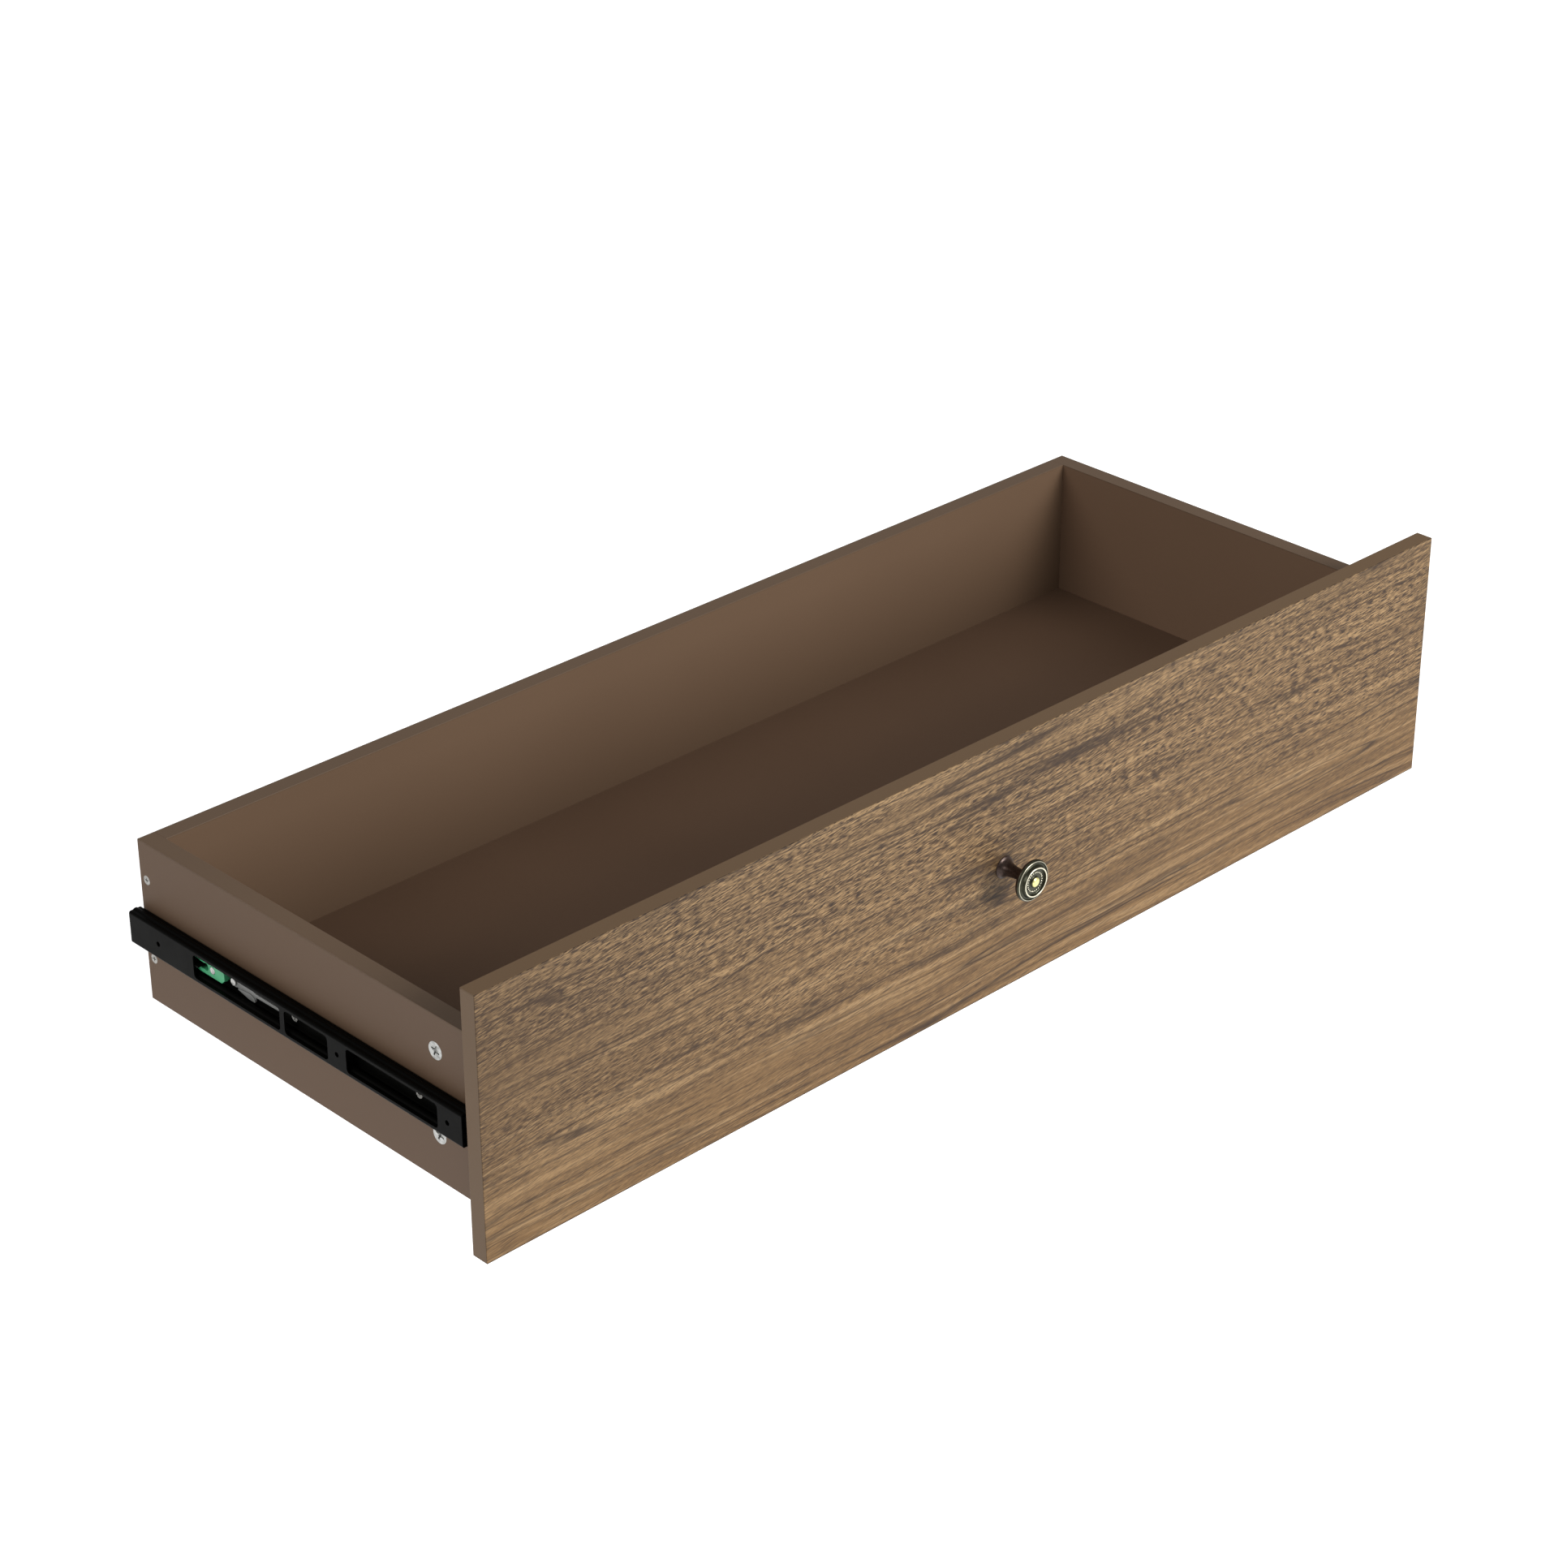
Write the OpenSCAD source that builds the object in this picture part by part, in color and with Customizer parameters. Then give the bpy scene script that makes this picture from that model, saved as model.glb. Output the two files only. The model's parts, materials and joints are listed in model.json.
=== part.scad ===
// Wide wooden drawer on a pair of two-part ball bearing slides.
// Millimetres. +X right, +Y into the cabinet, +Z up. The origin is midway between the two
// slides, on their centre line, level with the back face of the drawer front. The drawer is
// drawn closed: the cabinet rails stay on the cabinet sides and all the rest travels in -Y.

/* [Drawer front] */
// Width of the drawer front
front_w = 1095; // [700:1:1320]
// Height of the drawer front
front_h = 229; // [225:1:320]
// Thickness of the drawer front, with its face sheet
front_t = 16; // [13:0.5:22]
// Thickness of the wood grain sheet on the face
face_t = 0.8; // [0.5:0.1:1.2]
// Thickness of the glued strips on the edges
band_t = 0.8; // [0.4:0.1:1.2]
// Gap between the end of the front and the cabinet side
front_gap = 1; // [0.5:0.1:3]

/* [Drawer box] */
// Depth of the box behind the front
box_depth = 408; // [406:1:520]
// Height of the box sides
side_h = 145; // [128:1:175]
// Thickness of the side and back boards
board_t = 16; // [14:0.5:19]
// Bottom edge of the box above the bottom edge of the front
box_lift = 36.2; // [5:0.1:45]
// Thickness of the bottom sheet
floor_t = 4; // [3:0.5:6]
// Top of the bottom sheet above the bottom edge of the box
floor_rise = 16; // [10:0.5:24]
// Depth of the grooves that hold the bottom sheet
groove_depth = 6; // [4:0.5:8]
// Slack of the bottom sheet in the depth of each groove
groove_slack = 0.8; // [0.3:0.1:1.5]

/* [Slides] */
// Room for one slide between the box side and the cabinet side
slide_space = 12.7; // [12.5:0.1:15.5]
// Length of the drawer rail
rail_len = 400; // [380:1:480]
// Front end of the rails behind the drawer front
rail_setback = 4.5; // [2:0.1:12]
// Centre line of the slides above the bottom edge of the box
rail_rise = 69.6; // [62:0.1:85]
// Thickness of the rolled steel
steel_t = 1.2; // [1:0.1:1.4]
// Overall height of the drawer rail
rail_h = 23.2; // [22:0.1:27]
// Gap between the drawer rail's lips and the cabinet rail's web
rail_gap = 0.4; // [0.3:0.1:0.8]
// Diameter of a steel ball
ball_d = 4; // [3.5:0.1:4.8]
// Running clearance between a ball and its races
race_clear = 0.08; // [0.03:0.01:0.1]
// Depth of the ball race in the drawer rail's flange
race_depth = 1.7; // [1.4:0.1:1.9]
// Number of balls in one strip
ball_count = 9; // [6:1:11]
// Spacing of the balls along a strip
ball_pitch = 16; // [12:0.5:17]
// Thickness of a ball strip
strip_t = 0.8; // [0.5:0.1:0.9]
// Air between a ball strip and each rail
strip_gap = 0.35; // [0.3:0.05:0.5]
// Depth of the rubber bumper at the rear of the cabinet rail
bumper_t = 4; // [3:0.5:8]

/* [Release lever and catch] */
// Lever rivet behind the front end of the drawer rail
lever_setback = 282; // [270:0.5:300]
// Distance from the lever rivet to the shoulder that meets the stop
shoulder_reach = 27; // [24:0.5:34]
// Distance from the lever rivet to the tip of the finger tail
tail_reach = 59; // [50:0.5:62]
// Thickness of the lever
lever_t = 2.6; // [2:0.1:3.4]
// Diameter of the lever's pivot rivet
rivet_d = 3.2; // [2.6:0.1:4]
// Gap between the lever's rear end and the catch
catch_gap = 4; // [3:0.5:8]
// Length of the catch
catch_len = 38; // [30:0.5:40]
// Width of the catch
catch_w = 13; // [11:0.5:14]
// Height of the catch off the rail's web
catch_t = 5.5; // [4:0.1:6.5]
// Width of the slot in the catch's fork
fork_w = 5.6; // [3:0.1:6]
// Depth of the stop tab behind the cabinet rail's front end
stop_setback = 2; // [1:0.1:5]

/* [Fastenings] */
// Diameter of a cam lock
cam_d = 15; // [12:0.5:15]
// Depth of a cam lock's pocket past the cam bolt's centre line
cam_past_bolt = 4.5; // [4.2:0.1:5]
// Cam locks behind the drawer front
cam_setback = 46.7; // [30:0.1:55]
// Lower pair of cam locks above the bottom edge of the box
cam_low = 41.2; // [30:0.1:44]
// Upper pair of cam locks above the bottom edge of the box
cam_high = 113.8; // [104:0.1:120]
// Diameter of a cam bolt's shank
bolt_d = 4; // [3:0.1:4.5]
// Diameter of a cam bolt's head
bolt_head_d = 5.8; // [5:0.1:6.2]
// Diameter of a cam bolt's thread in the drawer front
bolt_thread_d = 5; // [4.5:0.1:6]
// Diameter of a wooden dowel
dowel_d = 8; // [6:0.5:8]
// Length of a wooden dowel
dowel_len = 30; // [25:1:34]
// Diameter of a back screw
screw_d = 4; // [3.5:0.1:4.5]
// Length of a back screw
screw_len = 45; // [35:1:50]
// Lower back screws above the bottom edge of the box
screw_low = 39.4; // [30:0.1:44]
// Upper back screws above the bottom edge of the box
screw_high = 110.8; // [104:0.1:120]
// Diameter of a rail screw
rail_screw_d = 3.5; // [3:0.1:4]
// Length of a rail screw
rail_screw_len = 13; // [11:0.5:14]
// Diameter of the cabinet rail's screw holes
rail_hole_d = 4.5; // [4:0.1:5.2]

/* [Knob] */
// Diameter of the knob's disc
knob_d = 36; // [30:0.5:45]
// Diameter of the knob's foot
knob_foot_d = 19.6; // [16:0.1:24]
// Diameter of the knob's neck
knob_neck_d = 9.6; // [9:0.1:12]
// How far the knob stands out of the drawer front
knob_out = 36; // [28:0.1:40]
// Diameter of the knob screw
knob_screw_d = 4; // [3.5:0.1:5]
// Number of beads round the knob's face
bead_count = 24; // [16:1:28]

/* [Hidden] */
$fn = 64;
EPS = 0.01;
CLEAR = 0.3;

// Drawer front and box
BOX_W = front_w + 2 * front_gap - 2 * slide_space;
SIDE_X = BOX_W / 2;
BOX_Z0 = -rail_rise;
BOX_Z1 = BOX_Z0 + side_h;
FRONT_Z0 = BOX_Z0 - box_lift;
FRONT_ZC = FRONT_Z0 + front_h / 2;
FLOOR_Z1 = BOX_Z0 + floor_rise;
SIDE_MID_X = SIDE_X - board_t / 2;
BACK_MID_Y = box_depth - board_t / 2;
CORE_T = front_t - face_t;
CAM_H = board_t / 2 + cam_past_bolt;

// Slide section: u runs from the box side towards the cabinet side, v up from the centre line
RAIL_V = rail_h / 2;
RAIL_U = slide_space - steel_t - rail_gap;
RACE_R = ball_d / 2 + race_clear;
BALL_U = slide_space / 2;
BALL_V = RAIL_V - race_depth + RACE_R;
STRIP_V0 = RAIL_V + strip_gap;
CAB_V0 = STRIP_V0 + strip_t + strip_gap;
CAB_V1 = CAB_V0 + steel_t;
LIP_AIR = 0.4;
CROWN_V = BALL_V + RACE_R + steel_t;
STRIP_U = RACE_R + steel_t;
CAB_LIP_U = BALL_U - STRIP_U - strip_gap - steel_t;
CHANNEL_V = RAIL_V - race_depth - steel_t;
BEND_R = 2;

// Slide lengths
RAIL_Y0 = rail_setback;
RAIL_Y1 = RAIL_Y0 + rail_len;
END_GAP = 0.5;
CAB_Y1 = RAIL_Y1 + END_GAP + bumper_t + steel_t;
STOP_Y1 = RAIL_Y0 + stop_setback + steel_t;
LEVER_Y = RAIL_Y0 + lever_setback;
SHOULDER_Y = LEVER_Y - shoulder_reach;
TRAVEL = SHOULDER_Y - STOP_Y1 - CLEAR;
STRIP_END = 7;
STRIP_LEN = (ball_count - 1) * ball_pitch + 2 * STRIP_END;
STRIP_Y0 = RAIL_Y0 + (rail_len - STRIP_LEN) / 2;

// Lever and catch
LEVER_R = 5.2;
LEVER_U0 = steel_t + CLEAR;
LEVER_U1 = LEVER_U0 + lever_t;
LEVER_HUB_V = CHANNEL_V - CLEAR;
TAIL_V0 = -3.6;
TAIL_V1 = -0.4;
TAIL_AIR = 0.9;
STOP_V1 = TAIL_V0 - TAIL_AIR;
STOP_V0 = -(CHANNEL_V - CLEAR);
LEVER_SWING = 8;
RIVET_HEAD_D = rivet_d + 2.6;
CATCH_Y0 = LEVER_Y + LEVER_R + catch_gap;
CATCH_Y1 = CATCH_Y0 + catch_len;
CATCH_RIVET_Y = CATCH_Y0 + 0.4 * catch_len;
FORK_DEPTH = 0.38 * catch_len;
FIN_AIR = 4;
FIN_FOOT = 15;
FIN_Y0 = CATCH_Y1 - FORK_DEPTH + FIN_AIR;
FIN_Y1 = CATCH_Y1 + FIN_FOOT;

// Windows and screw places along the cabinet rail, from its front end
HOLE_PITCH = 32;
HOLE_FRONT = 16.5;
CAB_HOLES = [HOLE_FRONT, HOLE_FRONT + 4 * HOLE_PITCH, HOLE_FRONT + 11 * HOLE_PITCH];
WEB_EDGE = 11;
WEB_LEDGE = 3.8;
WINDOW_V = CAB_V1 - WEB_LEDGE;
DRAWER_SCREWS = [60, 208, 372];
SCREW_HEAD_D = 2 * rail_screw_d;
WINDOW_R = 3.5;
SIGHT_FRONT = 9.3;
SIGHT_REAR = 6.5;
LEVER_WINDOW_Y0 = LEVER_Y - tail_reach - SIGHT_FRONT;
LEVER_WINDOW_Y1 = CATCH_Y1 - SIGHT_REAR;
FIN_U0 = steel_t + 0.4 * catch_t;
BUMPER_V = CHANNEL_V;
WEB_CUT = 5.5;

// Small parts
BOLT_IN = 10;
BOLT_HEAD_T = 2.4;
BOLT_COLLAR_T = 1.2;
DOWEL_IN = dowel_len / 3;
DOWEL_SLACK = 1;
CAM_RUN = 0.05;
CAM_WALL = 2.2;
CAM_HEAD_AIR = 0.4;
CAM_CROSS = 9.2;
CAM_CROSS_W = 1.5;
CAM_CROSS_DEEP = 1.8;
CAM_CROSS_TURN = 20;
SCREW_HEAD_H = 2.4;
PAN_HEAD_T = 1.8;
CROSS_W = 0.8;
CROSS_DEEP = 1.5;
RIVET_HEAD_T = 1;
RIVET_RUN = 0.05;
LEVER_AIR = 0.15;
KNOB_CROWN = 4;
KNOB_EDGE_R = 2.2;
KNOB_WELL = 2.9;
KNOB_RING = 0.68;
KNOB_DOME = 0.26;
DOME_H = 2.6;
FOOT_LIP = 0.8;
FOOT_STEP = 0.5;
FOOT_CURVE = 1.4;
FOOT_SWEEP = 2.4;
FLARE = 0.40;
WAIST = 0.56;
RIM_BEAD_R = 0.45;
RIM_BEAD_IN = 0.3;
RIM_BEAD_RISE = 0.86;
COVE_IN = 1;
COVE_DROP = 0.5;
COVE_RISE = 2.1;
RING_R = 0.75;
RING_DROP = 1.6;
RING_FOOT = 0.9;
KNOB_BORE = 12;
KNOB_SCREW_HEAD_T = 2.2;
BEAD_D = 1.5;
BEAD_RING = 0.46;

// ---- Placing helpers ----

// A slide is drawn once, in (u, v, length) with u outwards, and set on the left side.
// The right slide is the same slide turned half round about the direction of travel.
module on_left() {
    translate([-SIDE_X, 0, 0]) mirror([1, 0, 0]) children();
}

module on_right() {
    rotate([0, 180, 0]) on_left() children();
}

// Runs a flat outline drawn in (u, v) along +Y from y0 to y1
module along(y0, y1) {
    translate([0, y1, 0]) rotate([90, 0, 0]) linear_extrude(y1 - y0) children();
}

// Stands a flat outline drawn in (y, v) up off the web, from u0 to u1
module off_web(u0, u1) {
    translate([u0, 0, 0]) rotate([90, 0, 90]) linear_extrude(u1 - u0) children();
}

// Cylinder along +u from u0 to u1
module pin_u(d, u0, u1) {
    translate([u0, 0, 0]) rotate([0, 90, 0]) cylinder(d = d, h = u1 - u0);
}

module block(x0, x1, y0, y1, z0, z1) {
    translate([x0, y0, z0]) cube([x1 - x0, y1 - y0, z1 - z0]);
}

// A flat slot with full round ends, from y0 to y1, half as high as half_v either side
module window(y0, y1) {
    w = WINDOW_V;
    r = WINDOW_R;
    translate([y0 + r, -w]) square([y1 - y0 - 2 * r, 2 * w]);
    translate([y0, -w + r]) square([y1 - y0, 2 * w - 2 * r]);
    for (y = [y0 + r, y1 - r]) for (v = [-w + r, w - r]) translate([y, v]) circle(r = r);
}

// Points along an arc round (cx, cy)
function arc(cx, cy, r, a0, a1, n = 8) =
    [for (i = [0:n]) [cx + r * cos(a0 + (a1 - a0) * i / n), cy + r * sin(a0 + (a1 - a0) * i / n)]];

// Both sides of the drawer, without turning anything over
module both_sides() {
    children();
    mirror([1, 0, 0]) children();
}

// ---- Drawer front ----

module front_panel() {
    color("#6b5a48") difference() {
        block(-front_w / 2 + band_t, front_w / 2 - band_t, -CORE_T, 0,
              FRONT_Z0 + band_t, FRONT_Z0 + front_h - band_t);
        floor_space(0);
        translate([0, EPS, FRONT_ZC]) rotate([90, 0, 0])
            cylinder(d = knob_screw_d + 0.6, h = front_t);
        at_cam_bolts() rotate([90, 0, 0]) cylinder(d = bolt_thread_d, h = BOLT_IN);
        at_dowels() rotate([90, 0, 0]) cylinder(d = dowel_d, h = DOWEL_IN);
    }
}

module front_face_sheet() {
    color("#96795b") difference() {
        block(-front_w / 2, front_w / 2, -front_t, -CORE_T, FRONT_Z0, FRONT_Z0 + front_h);
        translate([0, EPS, FRONT_ZC]) rotate([90, 0, 0])
            cylinder(d = knob_screw_d + 0.6, h = front_t + 1);
    }
}

module front_top_band() {
    color("#73614f") block(-front_w / 2, front_w / 2, -CORE_T, 0,
                           FRONT_Z0 + front_h - band_t, FRONT_Z0 + front_h);
}

module front_bottom_band() {
    color("#73614f") block(-front_w / 2, front_w / 2, -CORE_T, 0, FRONT_Z0, FRONT_Z0 + band_t);
}

module front_end_band(x0) {
    color("#73614f") block(x0, x0 + band_t, -CORE_T, 0,
                           FRONT_Z0 + band_t, FRONT_Z0 + front_h - band_t);
}

module front_left_band() { front_end_band(-front_w / 2); }

module front_right_band() { front_end_band(front_w / 2 - band_t); }

// ---- Drawer box ----

// The bottom sheet with slack all round: 0 is the groove, groove_slack is the sheet itself
module floor_space(slack) {
    x = SIDE_X - board_t + groove_depth - slack;
    block(-x, x, -groove_depth + slack, box_depth - board_t + groove_depth - slack,
          FLOOR_Z1 - floor_t, FLOOR_Z1);
}

module left_side_panel() {
    color("#68574a") difference() {
        block(-SIDE_X, -SIDE_X + board_t, 0, box_depth, BOX_Z0, BOX_Z1 - band_t);
        floor_space(0);
        cam_pockets();
        bolt_holes();
        dowel_holes();
        back_screw_holes();
        on_left() drawer_screw_holes();
    }
}

module right_side_panel() {
    color("#68574a") difference() {
        block(SIDE_X - board_t, SIDE_X, 0, box_depth, BOX_Z0, BOX_Z1 - band_t);
        floor_space(0);
        cam_pockets();
        bolt_holes();
        dowel_holes();
        back_screw_holes();
        on_right() drawer_screw_holes();
    }
}

module back_panel() {
    x = SIDE_X - board_t;
    color("#68574a") difference() {
        block(-x, x, box_depth - board_t, box_depth, BOX_Z0, BOX_Z1 - band_t);
        floor_space(0);
        back_screw_holes();
    }
}

module bottom_panel() {
    color("#4c3b2c") floor_space(groove_slack);
}

module side_top_band(x0) {
    color("#7a6857") block(x0, x0 + board_t, 0, box_depth, BOX_Z1 - band_t, BOX_Z1);
}

module left_top_band() { side_top_band(-SIDE_X); }

module right_top_band() { side_top_band(SIDE_X - board_t); }

module back_top_band() {
    x = SIDE_X - board_t;
    color("#7a6857") block(-x, x, box_depth - board_t, box_depth, BOX_Z1 - band_t, BOX_Z1);
}

// ---- Fastenings ----

module at_cams() {
    both_sides() for (z = [cam_low, cam_high])
        translate([-SIDE_X, cam_setback, BOX_Z0 + z]) children();
}

module at_cam_bolts() {
    both_sides() for (z = [cam_low, cam_high])
        translate([-SIDE_MID_X, 0, BOX_Z0 + z]) children();
}

module at_dowels() {
    both_sides() translate([-SIDE_MID_X, 0, 0]) children();
}

module cam_pockets() {
    at_cams() pin_u(cam_d, -EPS, CAM_H);
}

module bolt_holes() {
    at_cam_bolts() translate([0, cam_setback, 0]) rotate([90, 0, 0])
        cylinder(d = bolt_head_d + 2 * CLEAR, h = cam_setback + EPS);
}

module dowel_holes() {
    at_dowels() translate([0, -EPS, 0]) rotate([-90, 0, 0])
        cylinder(d = dowel_d, h = dowel_len - DOWEL_IN + DOWEL_SLACK);
}

// Turned bolt: thread in the front, shank through the side's end, head inside the cam
module cam_bolts() {
    color("silver") at_cam_bolts() rotate([-90, 0, 0]) {
        translate([0, 0, -BOLT_IN]) cylinder(d = bolt_thread_d, h = BOLT_IN);
        cylinder(d = bolt_d, h = cam_setback);
        cylinder(d = bolt_head_d, h = BOLT_COLLAR_T);
        translate([0, 0, cam_setback - BOLT_HEAD_T / 2]) cylinder(d = bolt_head_d, h = BOLT_HEAD_T);
    }
}

module dowels() {
    color("burlywood") at_dowels() translate([0, -DOWEL_IN, 0]) rotate([-90, 0, 0])
        cylinder(d = dowel_d, h = dowel_len);
}

// Cam lock seen from its face: a drum with a race for the bolt's head, open over its lower
// half, so that it can turn half round while the bolt's shank stands in the opening
module cam() {
    r = cam_d / 2 - CAM_RUN;
    head = bolt_head_d + 2 * CAM_HEAD_AIR;
    shank = bolt_d + 2 * CLEAR;
    color("#b9bab8") rotate([0, 90, 0]) difference() {
        cylinder(r = r, h = CAM_H - CLEAR);
        translate([0, 0, (board_t - head) / 2]) cylinder(d = cam_d - 2 * CAM_WALL, h = head);
        translate([-shank / 2, -r - 1, (board_t - shank) / 2]) cube([r + 1 + shank / 2, 2 * r + 2, shank]);
        for (a = [0, 90]) rotate([0, 0, a + CAM_CROSS_TURN])
            translate([-CAM_CROSS / 2, -CAM_CROSS_W / 2, -EPS])
                cube([CAM_CROSS, CAM_CROSS_W, CAM_CROSS_DEEP]);
        translate([0, 0, -EPS]) cylinder(d1 = CAM_CROSS / 2, d2 = CAM_CROSS / 4, h = CAM_CROSS_DEEP);
    }
}

module left_cam(z) { translate([-SIDE_X, cam_setback, BOX_Z0 + z]) cam(); }

module right_cam(z) { translate([SIDE_X, cam_setback, BOX_Z0 + z]) rotate([0, 180, 0]) cam(); }

module left_upper_cam() { left_cam(cam_high); }

module left_lower_cam() { left_cam(cam_low); }

module right_upper_cam() { right_cam(cam_high); }

module right_lower_cam() { right_cam(cam_low); }

module at_back_screws() {
    both_sides() for (z = [screw_low, screw_high])
        translate([-SIDE_X, BACK_MID_Y, BOX_Z0 + z]) children();
}

module back_screw_holes() {
    at_back_screws() translate([-EPS, 0, 0]) {
        pin_u(screw_d, 0, screw_len + 1);
        rotate([0, 90, 0]) cylinder(d1 = 2 * screw_d, d2 = screw_d, h = SCREW_HEAD_H);
    }
}

module back_screws() {
    color("#d8d6d0") at_back_screws() difference() {
        union() {
            pin_u(screw_d, 0, screw_len);
            rotate([0, 90, 0]) cylinder(d1 = 2 * screw_d - 4 * EPS, d2 = screw_d, h = SCREW_HEAD_H - EPS);
        }
        for (a = [0, 90]) rotate([a, 0, 0])
            translate([-EPS, -screw_d / 2, -CROSS_W / 2]) cube([CROSS_DEEP, screw_d, CROSS_W]);
    }
}

// ---- Slides: drawer rail ----

// Rectangle from u0 to u1 whose two corners at u0 are round
module rolled_blank(u0, u1, half_v, r) {
    translate([u0 + r, -half_v]) square([u1 - u0 - r, 2 * half_v]);
    translate([u0, -half_v + r]) square([u1 - u0, 2 * (half_v - r)]);
    for (s = [-1, 1]) translate([u0 + r, s * (half_v - r)]) circle(r = r);
}

// Places children at the ball line above and below the centre line
module at_races() {
    for (s = [0, 1]) mirror([0, s]) translate([BALL_U, BALL_V]) children();
}

module drawer_rail_section() {
    difference() {
        union() {
            difference() {
                rolled_blank(0, RAIL_U, RAIL_V, BEND_R);
                rolled_blank(steel_t, RAIL_U + 1, RAIL_V - steel_t, BEND_R - steel_t);
            }
            for (s = [0, 1]) mirror([0, s]) intersection() {
                translate([BALL_U, BALL_V]) circle(r = RACE_R + steel_t);
                translate([0, CHANNEL_V - 1]) square([slide_space, RAIL_V - CHANNEL_V + 1]);
            }
        }
        at_races() circle(r = RACE_R);
    }
}

module drawer_screw_holes() {
    for (y = DRAWER_SCREWS) translate([0, RAIL_Y0 + y, 0])
        pin_u(rail_screw_d, steel_t - rail_screw_len - EPS, steel_t + 1);
}

// The web's rear edge is cut back in an arc between the flanges
module web_end_cut() {
    chord = CHANNEL_V + steel_t / 2;
    r = (chord * chord + WEB_CUT * WEB_CUT) / (2 * WEB_CUT);
    translate([0, RAIL_Y1 - WEB_CUT + r, 0]) pin_u(2 * r, -1, steel_t + EPS);
}

module drawer_rail() {
    color("#26221f") difference() {
        along(RAIL_Y0, RAIL_Y1) drawer_rail_section();
        drawer_screw_holes();
        web_end_cut();
        for (y = [LEVER_Y, CATCH_RIVET_Y]) translate([0, y, 0]) pin_u(rivet_d, -1, steel_t + 1);
    }
}

module left_drawer_rail() { on_left() drawer_rail(); }

module right_drawer_rail() { on_right() drawer_rail(); }

module rail_screws() {
    color("#55534f") for (y = DRAWER_SCREWS) translate([0, RAIL_Y0 + y, 0]) difference() {
        union() {
            pin_u(rail_screw_d, steel_t - rail_screw_len, steel_t);
            pin_u(SCREW_HEAD_D, steel_t, steel_t + PAN_HEAD_T);
        }
        for (a = [0, 90]) rotate([a, 0, 0])
            translate([steel_t + PAN_HEAD_T - 1, -SCREW_HEAD_D / 4, -CROSS_W / 2])
                cube([2, SCREW_HEAD_D / 2, CROSS_W]);
    }
}

module left_rail_screws() { on_left() rail_screws(); }

module right_rail_screws() { on_right() rail_screws(); }

// ---- Slides: catch and release lever ----

// Moulded catch: a chamfered nose in front and a fork behind that takes the cabinet rail's fin
module catch() {
    w = catch_w / 2;
    nose = w * 0.55;
    tip_y = 2;
    tip_v = 1.4;
    mouth = 2.5;
    top = steel_t + catch_t;
    color("#35a06a") difference() {
        off_web(steel_t, top) difference() {
            polygon([[CATCH_Y0, -w + nose], [CATCH_Y0 + nose, -w], [CATCH_Y1 - tip_y, -w],
                     [CATCH_Y1, -w + tip_v], [CATCH_Y1, w - tip_v], [CATCH_Y1 - tip_y, w],
                     [CATCH_Y0 + nose, w], [CATCH_Y0, w - nose]]);
            translate([CATCH_Y1 - FORK_DEPTH, -fork_w / 2]) square([FORK_DEPTH + 1, fork_w]);
            translate([CATCH_Y1 - FORK_DEPTH, 0]) circle(d = fork_w + 1);
            polygon([[CATCH_Y1 - mouth, 0], [CATCH_Y1 + 1, -fork_w], [CATCH_Y1 + 1, fork_w]]);
        }
        translate([0, CATCH_RIVET_Y, 0]) {
            pin_u(rivet_d, 0, top + 1);
            pin_u(RIVET_HEAD_D + 2 * CLEAR, top - RIVET_HEAD_T, top + 1);
        }
    }
}

module left_catch() { on_left() catch(); }

module right_catch() { on_right() catch(); }

// Peened rivet from the back of the web to a flat head over what it holds
module rivet(y, top_u) {
    color("#c9c7c2") translate([0, y, 0]) {
        pin_u(rivet_d, 0, top_u);
        pin_u(RIVET_HEAD_D, top_u, top_u + RIVET_HEAD_T);
    }
}

module left_catch_rivet() { on_left() rivet(CATCH_RIVET_Y, steel_t + catch_t - RIVET_HEAD_T); }

module right_catch_rivet() { on_right() rivet(CATCH_RIVET_Y, steel_t + catch_t - RIVET_HEAD_T); }

module left_lever_rivet() { on_left() rivet(LEVER_Y, LEVER_U1 + LEVER_AIR); }

module right_lever_rivet() { on_right() rivet(LEVER_Y, LEVER_U1 + LEVER_AIR); }

// Lever: round the rivet, a hub that drops to the shoulder, and a slim tail for the finger.
// The shoulder is raked back so that it swings clear of the stop tab.
module release_lever() {
    hub_y = -0.7 * shoulder_reach;
    shoulder_y = -shoulder_reach + LEVER_HUB_V * tan(LEVER_SWING);
    root_y = -shoulder_reach - TAIL_V0 * tan(LEVER_SWING);
    tip = 1;
    taper = 0.6;
    neck_y = -LEVER_R * cos(60);
    neck_v = LEVER_R * sin(60);
    color("#8b8d8c") translate([0, LEVER_Y, 0]) difference() {
        off_web(LEVER_U0, LEVER_U1) {
            circle(r = LEVER_R);
            polygon([[-shoulder_reach, TAIL_V1], [root_y, TAIL_V0], [shoulder_y, -LEVER_HUB_V],
                     [hub_y, -LEVER_HUB_V], [neck_y, -neck_v], [0, 0], [neck_y, neck_v]]);
            polygon([[-tail_reach + tip, TAIL_V0 + taper], [root_y + 1, TAIL_V0],
                     [root_y + 1, TAIL_V1], [-tail_reach + tip, TAIL_V1],
                     [-tail_reach, TAIL_V1 - tip], [-tail_reach, TAIL_V0 + taper + tip]]);
        }
        pin_u(rivet_d + 2 * RIVET_RUN, 0, LEVER_U1 + 1);
    }
}

module left_release_lever() { on_left() release_lever(); }

module right_release_lever() { on_right() release_lever(); }

// ---- Slides: cabinet rail ----

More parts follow.
